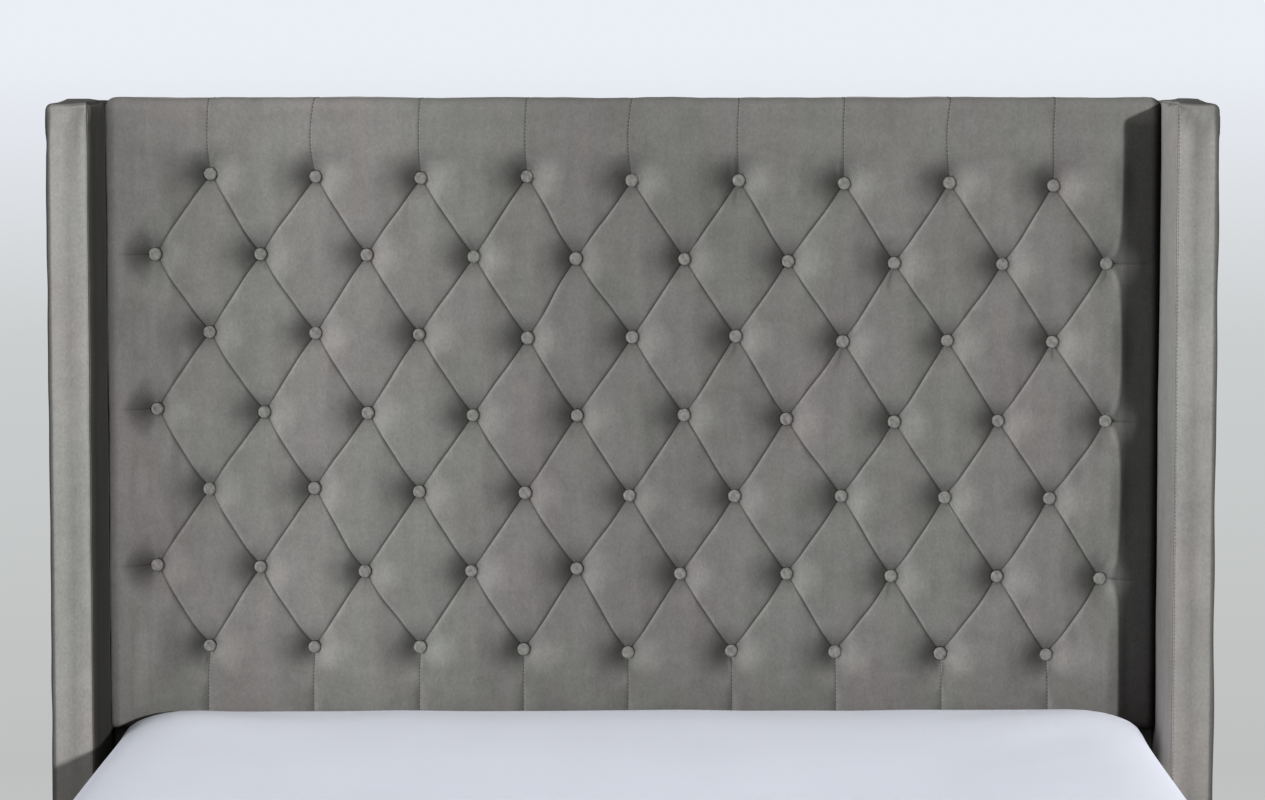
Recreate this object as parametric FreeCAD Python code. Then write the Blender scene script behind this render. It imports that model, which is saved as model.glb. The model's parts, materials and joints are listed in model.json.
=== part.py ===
import FreeCAD, Part
import os

from FreeCAD import Vector

# Queen-size wingback bed with a diamond-tufted headboard, in millimetres.
# +Z is up, the headboard stands at +Y and its front faces -Y.
# The origin is on the floor, at the centre of the bed's outline.
# "depth" below always counts forwards from the back of the headboard.

# ---- driving dimensions: the whole bed ----
OVERALL_WIDTH = 1700.0
OVERALL_LENGTH = 2200.0
HEADBOARD_TOP = 1533.0
PANEL_WIDTH = 1573.0  # between the wings
TUFTED_HEIGHT = 948.0
WING_TOP = 1528.0
WING_DEPTH = 261.5
BASE_GAP = 25.0  # under the headboard and the wings

# ---- driving dimensions: tufting ----
BUTTON_ROWS = 7
BUTTONS_IN_ODD_ROW = 9
BUTTON_PITCH = 157.7
ROW_PITCH = 118.0
FIRST_ROW_DROP = 122.3  # at the middle of the row
ROW_SLOPE = 0.0126  # the rows sink towards +X
ROW_LEAN = 1.1  # each row sits this much further towards -X
BUTTON_RADIUS = 10.5
BUTTON_RIM = 2.5
BUTTON_CROWN = 3.5
DIMPLE_DEPTH = 30.0
DIMPLE_MOUTH_RADIUS = 34.0
DIMPLE_FLOOR_RADIUS = 13.0
TWINE_RADIUS = 1.2
TWINE_HOLE_RADIUS = 3.2
SHANK_RADIUS = 2.6
SHANK_LENGTH = 8.0
TOGGLE_RADIUS = 6.0
TOGGLE_THICKNESS = 2.0

# ---- driving dimensions: layers and timber ----
VELVET = 2.0
TUFTED_COVER = 3.0
BACK_CLOTH = 1.5
POST_WIDTH = 60.0
FRAME_THICKNESS = 38.0
CROSS_RAIL = 70.0
LOWER_RAIL_Z = (235.0, 325.0)
BACKING_BOARD = 9.0
BOARD_GAP = 5.0  # below the backing board, above the posts' ends
LOWER_PANEL_BOTTOM = 60.0
BACK_CLOTH_MARGIN = 6.0
BACK_CLOTH_BOTTOM = 40.0
TUFTED_FOAM = 50.0
TOP_PADDING = 12.0
LOWER_FOAM = 15.0
WING_FOAM = 12.0
RAIL_BOARD = 28.0
RAIL_FOAM = 14.0
EDGE_RADIUS = 12.0

# ---- driving dimensions: base ----
RAIL_BOTTOM = 130.0
RAIL_TOP = 370.0
FOOTBOARD_DEPTH = 2156.0  # to its inner face
SLAT_TOP = 330.0
SLAT_THICKNESS = 18.0
SLAT_WIDTH = 68.0
SLAT_LENGTH = 1556.0
SLAT_COUNT = 15
FIRST_SLAT_DEPTH = 150.0
LAST_SLAT_DEPTH = 2118.0
LEDGER = (28.0, 30.0)  # width, height
LEDGER_GAP = (8.0, 2.0)  # to the tufted panel, to the footboard
BEAM = (40.0, 50.0)  # width, height
STRAP = (30.0, 1.5)  # width, thickness
STRAP_OFFSET = 500.0
CENTRE_LEG_DEPTHS = (560.0, 1130.0, 1700.0)
CENTRE_LEG_SIDE = 40.0

# ---- driving dimensions: mattress ----
MATTRESS_WIDTH = 1524.0
MATTRESS_LENGTH = 2032.0
MATTRESS_TOP = 620.0
MATTRESS_HEAD_DEPTH = 112.0
MATTRESS_CORNER = 70.0
MATTRESS_EDGE = 45.0
MATTRESS_CASING = 16.0  # quilted casing; the filling inside it is left out
SHEET = 1.5
SHEET_TUCK = 160.0
REST_GAP = 0.3  # between pieces that lift apart

# ---- driving dimensions: fasteners and feet ----
BOLT_RADIUS = 4.0
BOLT_HEAD = (8.0, 6.0)  # radius, height
BOLT_CLEARANCE = 0.3
WING_BOLT_Z = (180.0, 800.0, 1300.0)
WING_BOLT_LENGTH = 96.0
RAIL_BOLT_LENGTH = 30.0
PLATE = 5.0
PLATE_Z = (150.0, 270.0)
BOLT_Z = (180.0, 240.0)
HEAD_PLATE_DEPTHS = (180.0, 345.0)
WING_PLATE_DEPTHS = (205.0, 237.0)
RAIL_PLATE_DEPTHS = (290.0, 322.0)
CORNER_LEG = 80.0
CORNER_BOLT_OFFSET = 50.0
CRADLE = 3.0
CRADLE_LENGTH = 40.0
CRADLE_FLANGE = 45.0
CRADLE_LIP = 8.0  # from the cheeks' tops to the slats
GLIDE_RADIUS = 18.0
GLIDE_SETBACK = 60.0  # behind a wing's front
LEG_TOP_SIDE = 50.0
LEG_FOOT_SIDE = 36.0
PAD_HEIGHT = 4.0
LEG_OUTSET = 4.0  # beyond the rail's inner face
LEG_BOLT = (90.0, 170.0)  # low end, high end
STUD_RADIUS = 5.0
STUD_FIT = 0.06
STUD_TOP = 60.0
STUD_BORE_TOP = 75.0
LEVELLER_RADIUS = 20.0
LEVELLER_DISC = 10.0
LEVELLER_TRAVEL = 10.0  # up from the floor, until its collar meets the leg

# ---- worked out from the driving dimensions ----
BACK_Y = OVERALL_LENGTH / 2
HALF_PANEL = PANEL_WIDTH / 2
HALF_WIDTH = OVERALL_WIDTH / 2
FRAME_FRONT = BACK_CLOTH + FRAME_THICKNESS
BOARD_FRONT = FRAME_FRONT + BACKING_BOARD
FOAM_FRONT = BOARD_FRONT + TUFTED_FOAM
TUFTED_FRONT = FOAM_FRONT + TUFTED_COVER
LOWER_FRONT = BOARD_FRONT + LOWER_FOAM + VELVET
TUFTED_BOTTOM = HEADBOARD_TOP - TUFTED_HEIGHT
FRAME_TOP = HEADBOARD_TOP - TUFTED_COVER - TOP_PADDING
RAIL_OUTER = HALF_PANEL + RAIL_BOARD + RAIL_FOAM + VELVET
SLAT_BOTTOM = SLAT_TOP - SLAT_THICKNESS
HOLE_RADIUS = BOLT_RADIUS + BOLT_CLEARANCE
WING_BOLT_DEPTH = BACK_CLOTH + FRAME_THICKNESS / 2
LEG_DEPTH = FOOTBOARD_DEPTH + RAIL_BOARD / 2
LEG_X = HALF_PANEL + LEG_OUTSET
TOLERANCE = 0.01

nodes = {}


def block(x, depth, z):
    """A box from three (low, high) pairs."""
    corner = Vector(x[0], BACK_Y - depth[1], z[0])
    return Part.makeBox(x[1] - x[0], depth[1] - depth[0], z[1] - z[0], corner)


def rounded(shape, radius, wanted):
    """Rounds the edges that wanted picks by their bounding boxes."""
    edges = [e for e in shape.Edges if wanted(e.BoundBox)]
    return shape.makeFillet(radius, edges)


def rod(radius, start, direction, length):
    """A round bar; start is (x, depth, z)."""
    base = Vector(start[0], BACK_Y - start[1], start[2])
    return Part.makeCylinder(radius, length, base, direction)


def mirrored(shape):
    """The same piece on the bed's other side."""
    return shape.mirror(Vector(0, 0, 0), Vector(1, 0, 0))


def keep(name, *shapes):
    """Stores a node made of one or more separate solids."""
    solids = [solid for shape in shapes for solid in shape.Solids]
    for solid in solids:
        if not solid.isValid():
            raise ValueError("invalid solid in " + name)
    nodes[name] = solids[0] if len(solids) == 1 else Part.makeCompound(solids)


def keep_pair(stem, right_shape, ending=""):
    """Stores a right-hand piece and its mirror image."""
    tail = "_" + ending if ending else ""
    keep(stem + "_right" + tail, right_shape)
    keep(stem + "_left" + tail, mirrored(right_shape))


# ---- headboard: timber ----
def make_headboard_frame():
    depth = (BACK_CLOTH, FRAME_FRONT)
    post_inner = HALF_PANEL - POST_WIDTH
    post = block((post_inner, HALF_PANEL), depth, (BASE_GAP, FRAME_TOP))
    for z in WING_BOLT_Z:
        start = (post_inner, WING_BOLT_DEPTH, z)
        post = post.cut(rod(HOLE_RADIUS, start, Vector(1, 0, 0), POST_WIDTH))
    keep_pair("headboard_post", post)
    span = (-post_inner, post_inner)
    keep("headboard_top_rail", block(span, depth, (FRAME_TOP - CROSS_RAIL, FRAME_TOP)))
    middle = (TUFTED_BOTTOM - CROSS_RAIL / 2, TUFTED_BOTTOM + CROSS_RAIL / 2)
    keep("headboard_middle_rail", block(span, depth, middle))
    keep("headboard_lower_rail", block(span, depth, LOWER_RAIL_Z))
    width = (-HALF_PANEL, HALF_PANEL)
    board = block(width, (FRAME_FRONT, BOARD_FRONT), (BASE_GAP + BOARD_GAP, FRAME_TOP))
    holes = [
        rod(TWINE_HOLE_RADIUS, (x, BOARD_FRONT, z), Vector(0, 1, 0), BACKING_BOARD)
        for row in range(1, BUTTON_ROWS + 1)
        for x, z in button_centres(row)
    ]
    keep("headboard_backing_board", board.cut(holes))
    across = (BACK_CLOTH_MARGIN - HALF_WIDTH, HALF_WIDTH - BACK_CLOTH_MARGIN)
    height = (BACK_CLOTH_BOTTOM, WING_TOP - EDGE_RADIUS)
    keep("back_cloth", block(across, (0, BACK_CLOTH), height))


# ---- headboard: tufted panel ----
def button_centres(row):
    """(x, z) of each button in a row, counted from the top; even rows hold one more."""
    count = BUTTONS_IN_ODD_ROW + (row + 1) % 2
    z = HEADBOARD_TOP - FIRST_ROW_DROP - (row - 1) * ROW_PITCH
    offsets = [(i - (count - 1) / 2) * BUTTON_PITCH for i in range(count)]
    return [(x - (row - 1) * ROW_LEAN, z - x * ROW_SLOPE) for x in offsets]


def dimple(front, grow):
    """The hollow that a button pulls into a layer whose front is at depth front."""
    depth = DIMPLE_DEPTH
    start = Vector(0, BACK_Y - front, 0)
    cone = Part.makeCone(
        DIMPLE_MOUTH_RADIUS + grow, DIMPLE_FLOOR_RADIUS + grow, depth, start, Vector(0, 1, 0)
    )
    through = Part.makeCylinder(TWINE_HOLE_RADIUS, front - BOARD_FRONT, start, Vector(0, 1, 0))
    return cone.fuse(through)


def tufting(shape):
    """One copy of shape at every button of the panel."""
    return [
        shape.translated(Vector(x, 0, z))
        for row in range(1, BUTTON_ROWS + 1)
        for x, z in button_centres(row)
    ]


def panel_envelope(inset):
    """The padded panel's outside, moved in by inset, with soft front and top edges."""
    half = HALF_PANEL - inset
    front = TUFTED_FRONT - inset
    top = HEADBOARD_TOP - inset
    bottom = TUFTED_BOTTOM + inset
    body = block((-half, half), (BACK_CLOTH, front), (bottom, top))
    front_y = BACK_Y - front

    def front_or_top_corner(box):
        along_depth = box.YLength > BOARD_FRONT and box.ZMin > top - TOLERANCE
        return box.YMax < front_y + TOLERANCE or along_depth

    return rounded(body, EDGE_RADIUS - inset, front_or_top_corner)


def make_tufted_panel():
    behind = block((-HALF_PANEL, HALF_PANEL), (0, BOARD_FRONT), (0, FRAME_TOP))
    foam_body = panel_envelope(TUFTED_COVER)
    cover = panel_envelope(0).cut(tufting(dimple(TUFTED_FRONT, 0)))
    foam = foam_body.cut(tufting(dimple(FOAM_FRONT, TUFTED_COVER)))
    keep("tufted_foam", foam.cut(behind))
    keep("tufted_cover", cover.cut([foam, behind]).cut(tufting(shank_hole())))
    for row in range(1, BUTTON_ROWS + 1):
        keep(
            "button_row_" + str(row),
            *[button().translated(Vector(x, 0, z)) for x, z in button_centres(row)],
        )
    keep("button_twine", *tufting(twine()))


def shank_hole():
    start = (0, TUFTED_FRONT, 0)
    return rod(TWINE_HOLE_RADIUS, start, Vector(0, 1, 0), TUFTED_FRONT - BOARD_FRONT)


def button():
    """A low domed button with a shank behind it."""
    seat = TUFTED_FRONT - DIMPLE_DEPTH
    rim = rod(BUTTON_RADIUS, (0, seat, 0), Vector(0, -1, 0), BUTTON_RIM)
    ball_radius = (BUTTON_RADIUS**2 + BUTTON_CROWN**2) / (2 * BUTTON_CROWN)
    ball_depth = seat + BUTTON_RIM + BUTTON_CROWN - ball_radius
    ball = Part.makeSphere(ball_radius, Vector(0, BACK_Y - ball_depth, 0))
    slab = BUTTON_RIM + 2 * BUTTON_CROWN
    dome = ball.common(rod(BUTTON_RADIUS, (0, seat, 0), Vector(0, -1, 0), slab))
    shank = rod(SHANK_RADIUS, (0, seat, 0), Vector(0, 1, 0), SHANK_LENGTH)
    return rim.fuse([dome, shank]).removeSplitter()


def twine():
    """The twine from a shank back through the board, held by a toggle."""
    front = TUFTED_FRONT - DIMPLE_DEPTH - SHANK_LENGTH
    cord = rod(TWINE_RADIUS, (0, front, 0), Vector(0, 1, 0), front - FRAME_FRONT)
    toggle = rod(TOGGLE_RADIUS, (0, FRAME_FRONT, 0), Vector(0, 1, 0), TOGGLE_THICKNESS)
    return cord.fuse(toggle)


# ---- headboard: flat panel behind the mattress ----
def make_lower_panel():
    bottom = LOWER_PANEL_BOTTOM
    outside = block((-HALF_PANEL, HALF_PANEL), (BOARD_FRONT, LOWER_FRONT), (bottom, TUFTED_BOTTOM))
    half = HALF_PANEL - VELVET
    inside = block(
        (-half, half), (BOARD_FRONT, LOWER_FRONT - VELVET), (bottom + VELVET, TUFTED_BOTTOM)
    )
    keep("lower_panel_foam", inside)
    keep("lower_panel_cover", outside.cut(inside))


# ---- wings ----
def wing_envelope(inset):
    """The right wing's outside, moved in by inset, rounded along its front and top."""
    x = (HALF_PANEL + inset, HALF_WIDTH - inset)
    front = WING_DEPTH - inset
    top = WING_TOP - inset
    body = block(x, (BACK_CLOTH, front), (BASE_GAP, top))
    front_y = BACK_Y - front

    def on_front_or_top(box):
        front_edge = box.YMax < front_y + TOLERANCE and box.ZMax > BASE_GAP + TOLERANCE
        top_edge = box.ZMin > top - TOLERANCE and box.YMin < BACK_Y - BACK_CLOTH - TOLERANCE
        return front_edge or top_edge

    return rounded(body, EDGE_RADIUS - inset, on_front_or_top) if inset < EDGE_RADIUS else body


def make_wings():
    bolt_holes = wing_bolt_shanks(HOLE_RADIUS) + head_plate_shanks(HOLE_RADIUS)
    core = wing_envelope(VELVET + WING_FOAM)
    foam = wing_envelope(VELVET)
    keep_pair("wing", core.cut(bolt_holes), "core")
    keep_pair("wing", foam.cut([core] + bolt_holes), "foam")
    keep_pair("wing", wing_envelope(0).cut([foam] + bolt_holes), "cover")


def wing_bolt_shanks(radius):
    start_x = HALF_PANEL - POST_WIDTH
    return [
        rod(radius, (start_x, WING_BOLT_DEPTH, z), Vector(1, 0, 0), WING_BOLT_LENGTH)
        for z in WING_BOLT_Z
    ]


def sideways_bolt(x, depth, z, length):
    """A bolt whose head is on the bed's inside; x is under its head."""
    head = rod(BOLT_HEAD[0], (x, depth, z), Vector(-1, 0, 0), BOLT_HEAD[1])
    return head.fuse(rod(BOLT_RADIUS, (x, depth, z), Vector(1, 0, 0), length))


def make_wing_bolts():
    start_x = HALF_PANEL - POST_WIDTH
    right = [sideways_bolt(start_x, WING_BOLT_DEPTH, z, WING_BOLT_LENGTH) for z in WING_BOLT_Z]
    keep("wing_bolts", *right, *[mirrored(bolt) for bolt in right])


def make_headboard_glides():
    glides = []
    for x in (HALF_PANEL - POST_WIDTH / 2, (HALF_PANEL + HALF_WIDTH) / 2):
        depth = WING_BOLT_DEPTH if x < HALF_PANEL else WING_DEPTH - GLIDE_SETBACK
        disc = rod(GLIDE_RADIUS, (x, depth, 0), Vector(0, 0, 1), BASE_GAP)
        glides += [disc, mirrored(disc)]
    keep("headboard_glides", *glides)


# ---- side rails ----
def head_plate_shanks(radius):
    """The shanks of the bolts that hold a wing's rail plate."""
    x = HALF_PANEL - PLATE
    return [
        rod(radius, (x, depth, z), Vector(1, 0, 0), RAIL_BOLT_LENGTH + PLATE)
        for depth in WING_PLATE_DEPTHS + RAIL_PLATE_DEPTHS
        for z in BOLT_Z
    ]


def corner_shanks(radius):
    """The shanks of the foot corner's bolts, in the rail and in the footboard."""
    x = HALF_PANEL - PLATE
    depth = FOOTBOARD_DEPTH - CORNER_BOLT_OFFSET
    length = RAIL_BOLT_LENGTH
    in_rail = [rod(radius, (x, depth, z), Vector(1, 0, 0), length) for z in BOLT_Z]
    start = FOOTBOARD_DEPTH - PLATE
    across = HALF_PANEL - CORNER_BOLT_OFFSET
    in_board = [rod(radius, (across, start, z), Vector(0, -1, 0), length) for z in BOLT_Z]
    return in_rail + in_board


def rail_block(x_outer, z):
    return block((HALF_PANEL, x_outer), (WING_DEPTH, FOOTBOARD_DEPTH), z)


def make_side_rails():
    holes = head_plate_shanks(HOLE_RADIUS) + corner_shanks(HOLE_RADIUS)
    bottom = RAIL_BOTTOM + VELVET
    board_top = RAIL_TOP - VELVET - RAIL_FOAM
    board = rail_block(HALF_PANEL + RAIL_BOARD, (bottom, board_top))
    padding = rail_block(RAIL_OUTER - VELVET, (bottom, RAIL_TOP - VELVET))
    outside = rail_block(RAIL_OUTER, (RAIL_BOTTOM, RAIL_TOP))

    def outer_top(box):
        outermost = box.XMin > RAIL_OUTER - VELVET - TOLERANCE
        return outermost and box.ZMin > RAIL_TOP - VELVET - TOLERANCE

    padding = rounded(padding, EDGE_RADIUS - VELVET, outer_top)
    outside = rounded(outside, EDGE_RADIUS, outer_top)
    keep_pair("side_rail", board.cut(holes), "board")
    keep_pair("side_rail", padding.cut([board]), "foam")
    keep_pair("side_rail", outside.cut([padding]), "cover")
    ledger_top = SLAT_BOTTOM
    ledger = block(
        (HALF_PANEL - LEDGER[0], HALF_PANEL),
        (TUFTED_FRONT + LEDGER_GAP[0], FOOTBOARD_DEPTH - LEDGER_GAP[1]),
        (ledger_top - LEDGER[1], ledger_top),
    )
    keep_pair("slat_ledger", ledger)


# ---- footboard and its legs ----
def make_footboard():
    bottom = RAIL_BOTTOM + VELVET
    inner = FOOTBOARD_DEPTH
    pad = RAIL_OUTER - VELVET
    board_half = HALF_PANEL + RAIL_BOARD
    board_top = RAIL_TOP - VELVET - RAIL_FOAM
    board = block((-board_half, board_half), (inner, inner + RAIL_BOARD), (bottom, board_top))
    padding = block((-pad, pad), (inner, OVERALL_LENGTH - VELVET), (bottom, RAIL_TOP - VELVET))
    outside = block((-RAIL_OUTER, RAIL_OUTER), (inner, OVERALL_LENGTH), (RAIL_BOTTOM, RAIL_TOP))
    foot_y = BACK_Y - OVERALL_LENGTH

    def foot_edge(box):
        at_foot = box.YMax < foot_y + VELVET + TOLERANCE
        return at_foot and box.ZMax > RAIL_TOP - VELVET - TOLERANCE

    padding = rounded(padding, EDGE_RADIUS - VELVET, foot_edge)
    outside = rounded(outside, EDGE_RADIUS, foot_edge)
    holes = corner_shanks(HOLE_RADIUS) + [leg_hole()]
    holes += [mirrored(hole) for hole in holes]
    keep("footboard_board", board.cut(holes))
    keep("footboard_foam", padding.cut([board]))
    keep("footboard_cover", outside.cut([padding] + holes))


def leg_hole():
    length = LEG_BOLT[1] - LEG_BOLT[0]
    return rod(HOLE_RADIUS, (LEG_X, LEG_DEPTH, LEG_BOLT[0]), Vector(0, 0, 1), length)


def square_wire(side, z):
    half = side / 2
    y = BACK_Y - LEG_DEPTH
    corners = [(-half, -half), (half, -half), (half, half), (-half, half), (-half, -half)]
    return Part.makePolygon([Vector(LEG_X + dx, y + dy, z) for dx, dy in corners])


def make_foot_legs():
    wires = [square_wire(LEG_FOOT_SIDE, PAD_HEIGHT), square_wire(LEG_TOP_SIDE, RAIL_BOTTOM)]
    leg = Part.makeLoft(wires, True, True)
    keep_pair("foot_leg", leg.cut(leg_hole()))
    length = LEG_BOLT[1] - LEG_BOLT[0]
    bolt = rod(BOLT_RADIUS, (LEG_X, LEG_DEPTH, LEG_BOLT[0]), Vector(0, 0, 1), length)
    keep("leg_bolts", bolt, mirrored(bolt))
    pad = rod(LEG_FOOT_SIDE / 2 - 1, (LEG_X, LEG_DEPTH, 0), Vector(0, 0, 1), PAD_HEIGHT)
    keep("leg_pads", pad, mirrored(pad))


# ---- steel plates and bolts of the rails ----
def make_rail_steel():
    x = (HALF_PANEL - PLATE, HALF_PANEL)
    plate = block(x, HEAD_PLATE_DEPTHS, PLATE_Z).cut(head_plate_shanks(HOLE_RADIUS))
    keep_pair("rail_plate", plate)
    foot = FOOTBOARD_DEPTH
    along = block(x, (foot - CORNER_LEG, foot), PLATE_Z)
    across = block((HALF_PANEL - CORNER_LEG, HALF_PANEL), (foot - PLATE, foot), PLATE_Z)
    bracket = along.fuse(across).removeSplitter().cut(corner_shanks(HOLE_RADIUS))
    keep_pair("corner_bracket", bracket)
    under_head = HALF_PANEL - PLATE
    depths = WING_PLATE_DEPTHS + RAIL_PLATE_DEPTHS + (foot - CORNER_BOLT_OFFSET,)
    bolts = [
        sideways_bolt(under_head, depth, z, RAIL_BOLT_LENGTH) for depth in depths for z in BOLT_Z
    ]
    for z in BOLT_Z:
        start = (HALF_PANEL - CORNER_BOLT_OFFSET, foot - PLATE, z)
        shank = rod(BOLT_RADIUS, start, Vector(0, -1, 0), RAIL_BOLT_LENGTH)
        bolts.append(shank.fuse(rod(BOLT_HEAD[0], start, Vector(0, 1, 0), BOLT_HEAD[1])))
    keep("rail_bolts", *bolts, *[mirrored(bolt) for bolt in bolts])


# ---- centre beam, its cradles, legs and levelling feet ----
def cradle(wall_depth, away):
    """A U-shaped steel pocket on a wall; away is +1 when it points to the foot of the bed."""
    half = BEAM[0] / 2
    low = SLAT_BOTTOM - BEAM[1]
    far = wall_depth + away * CRADLE_LENGTH
    reach = (min(wall_depth, far), max(wall_depth, far))
    plate_far = wall_depth + away * CRADLE
    plate_reach = (min(wall_depth, plate_far), max(wall_depth, plate_far))
    outer = block((-half - CRADLE, half + CRADLE), reach, (low - CRADLE, SLAT_BOTTOM - CRADLE_LIP))
    flange = block((-CRADLE_FLANGE, CRADLE_FLANGE), plate_reach, (low - CRADLE, SLAT_BOTTOM))
    inner_reach = (reach[0] + CRADLE, reach[1]) if away > 0 else (reach[0], reach[1] - CRADLE)
    pocket = block((-half, half), inner_reach, (low, SLAT_TOP))
    return outer.cut(pocket).fuse(flange).removeSplitter()


def make_centre_support():
    half = BEAM[0] / 2
    low = SLAT_BOTTOM - BEAM[1]
    head = LOWER_FRONT + CRADLE
    foot = FOOTBOARD_DEPTH - CRADLE
    keep("centre_beam", block((-half, half), (head, foot), (low, SLAT_BOTTOM)))
    keep("beam_cradle_head", cradle(LOWER_FRONT, 1))
    keep("beam_cradle_foot", cradle(FOOTBOARD_DEPTH, -1))
    side = CENTRE_LEG_SIDE / 2
    for number, depth in enumerate(CENTRE_LEG_DEPTHS, start=1):
        leg = block((-side, side), (depth - side, depth + side), (BASE_GAP, low))
        bore_length = STUD_BORE_TOP - BASE_GAP
        bore = rod(STUD_RADIUS + STUD_FIT, (0, depth, BASE_GAP), Vector(0, 0, 1), bore_length)
        keep("centre_leg_" + str(number), leg.cut(bore))
        keep("levelling_foot_" + str(number), levelling_foot(depth))


def levelling_foot(depth):
    """A round pad, a collar that stops against the leg, and a stud inside the leg."""
    up = Vector(0, 0, 1)
    pad = rod(LEVELLER_RADIUS, (0, depth, 0), up, LEVELLER_DISC)
    collar = rod(STUD_RADIUS * 2, (0, depth, 0), up, BASE_GAP - LEVELLER_TRAVEL)
    stud = rod(STUD_RADIUS, (0, depth, 0), up, STUD_TOP)
    return pad.fuse([collar, stud]).removeSplitter()


# ---- slats and their straps ----
def make_slats():
    pitch = (LAST_SLAT_DEPTH - FIRST_SLAT_DEPTH) / (SLAT_COUNT - 1)
    half = SLAT_LENGTH / 2
    slats = []
    for number in range(SLAT_COUNT):
        middle = FIRST_SLAT_DEPTH + number * pitch
        depth = (middle - SLAT_WIDTH / 2, middle + SLAT_WIDTH / 2)
        slats.append(block((-half, half), depth, (SLAT_BOTTOM, SLAT_TOP)))
    keep("slats", *slats)
    reach = (FIRST_SLAT_DEPTH - SLAT_WIDTH / 2, LAST_SLAT_DEPTH + SLAT_WIDTH / 2)
    x = (STRAP_OFFSET - STRAP[0] / 2, STRAP_OFFSET + STRAP[0] / 2)
    strap = block(x, reach, (SLAT_BOTTOM - STRAP[1], SLAT_BOTTOM))
    keep("slat_straps", strap, mirrored(strap))


# ---- mattress and fitted sheet ----
def mattress_body(inset):
    """The mattress outline, moved in by inset, with soft corners and edges."""
    half = MATTRESS_WIDTH / 2 - inset
    depth = (MATTRESS_HEAD_DEPTH + inset, MATTRESS_HEAD_DEPTH + MATTRESS_LENGTH - inset)
    bottom = SLAT_TOP + REST_GAP + inset
    body = block((-half, half), depth, (bottom, MATTRESS_TOP - inset))
    body = rounded(body, MATTRESS_CORNER - inset, lambda box: box.ZLength > TOLERANCE)
    return rounded(body, MATTRESS_EDGE - inset, is_level)


def is_level(box):
    return box.ZLength < TOLERANCE


def make_mattress():
    outside = SHEET + REST_GAP
    hollow = mattress_body(outside + MATTRESS_CASING)
    keep("mattress", mattress_body(outside).cut(hollow))
    half = MATTRESS_WIDTH / 2 - SHEET_TUCK
    head = MATTRESS_HEAD_DEPTH + SHEET_TUCK
    foot = MATTRESS_HEAD_DEPTH + MATTRESS_LENGTH - SHEET_TUCK
    underside = block((-half, half), (head, foot), (SLAT_TOP, SLAT_TOP + MATTRESS_EDGE))
    keep("fitted_sheet", mattress_body(0).cut([mattress_body(SHEET), underside]))


def write_steps():
    os.makedirs("parts", exist_ok=True)
    for name, shape in nodes.items():
        shape.exportStep("parts/" + name + ".step")
    print(len(nodes), "nodes written")


make_headboard_frame()
make_tufted_panel()
make_lower_panel()
make_wings()
make_wing_bolts()
make_headboard_glides()
make_side_rails()
make_footboard()
make_foot_legs()
make_rail_steel()
make_centre_support()
make_slats()
make_mattress()
write_steps()
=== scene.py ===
import json
import math

import bpy
import numpy as np
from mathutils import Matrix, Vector


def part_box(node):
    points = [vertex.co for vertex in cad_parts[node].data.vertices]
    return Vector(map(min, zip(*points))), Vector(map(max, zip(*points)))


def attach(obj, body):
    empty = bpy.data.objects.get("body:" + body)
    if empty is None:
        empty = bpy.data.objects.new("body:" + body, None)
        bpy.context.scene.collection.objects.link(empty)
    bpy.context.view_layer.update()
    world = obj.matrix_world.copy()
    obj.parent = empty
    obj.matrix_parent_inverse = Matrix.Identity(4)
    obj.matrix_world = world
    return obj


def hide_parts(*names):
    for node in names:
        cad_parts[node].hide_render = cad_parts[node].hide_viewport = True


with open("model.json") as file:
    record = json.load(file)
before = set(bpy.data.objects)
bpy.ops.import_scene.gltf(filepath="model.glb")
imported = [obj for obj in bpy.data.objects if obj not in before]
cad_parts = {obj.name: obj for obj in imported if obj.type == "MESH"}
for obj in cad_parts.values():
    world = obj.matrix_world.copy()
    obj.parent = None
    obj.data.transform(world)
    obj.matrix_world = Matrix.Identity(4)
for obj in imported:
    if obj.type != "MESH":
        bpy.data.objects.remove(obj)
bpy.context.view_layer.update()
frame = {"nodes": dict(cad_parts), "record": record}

# A queen-size bed with a tufted velvet headboard, in metres: +Z is up, and the headboard's front
# faces -Y. Sizes come from the boxes of the CAD nodes; the values here are the upholstery's own.

BODY = "bed_frame"
MATTRESS_BODY = "mattress_set"
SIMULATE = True
QUARTER = math.pi / 2
TINY = 1e-9

# ---- tufting ----
ROWS = 7
ODD_ROW_BUTTONS = 9
LAST_COLUMN = 9  # the even rows' end buttons, in half pitches from the middle
BUTTON_NUDGE = 0.0022  # how unevenly the buttons are set
NUDGE_REACH = 0.055
NUDGE_CALM = 0.15  # how much the nudges fade away from the buttons
BUTTON_SINK = 0.0275
PULL_REACH = 0.039  # how wide the hollow round a button is
PULL_POWER = 2.0
SLACK = 0.0030  # how far back the cloth lies before it swells
CREASE_SINK = 0.0017
CREASE_WIDTH = 0.006
FOLD_SINK = 0.0020  # the sharp bottom of a crease
FOLD_WIDTH = 0.0013
SEAM_BOW = 0.006  # how far the seams above the top row bend sideways
SEAM_REACH = 0.0655  # from a crease to the middle of a diamond
# Mesh lines of the fine cloth: distances from a crease
CELLS = (0.0, 0.0008, 0.0018, 0.0031, 0.0048, 0.0072, 0.0103, 0.0142, 0.0188, 0.0240)
CELLS += (0.0297, 0.0360, 0.0427, 0.0500, 0.0577, SEAM_REACH)

# ---- the tufted cover's edges ----
PAD_CLEAR = 0.0005
SIDE_ROLL = 0.012
SIDE_SKIRT = 0.016  # how far the cover goes on past the rolled sides and bottom
TOP_ROLL = 0.017
CORNER = 0.017  # how round the panel's top corners are, seen from the front
BACK_ROLL = 0.006
BACK_TAIL = 0.024  # how far the cover goes down behind the top
BACK_CLEAR = 0.0006

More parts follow.
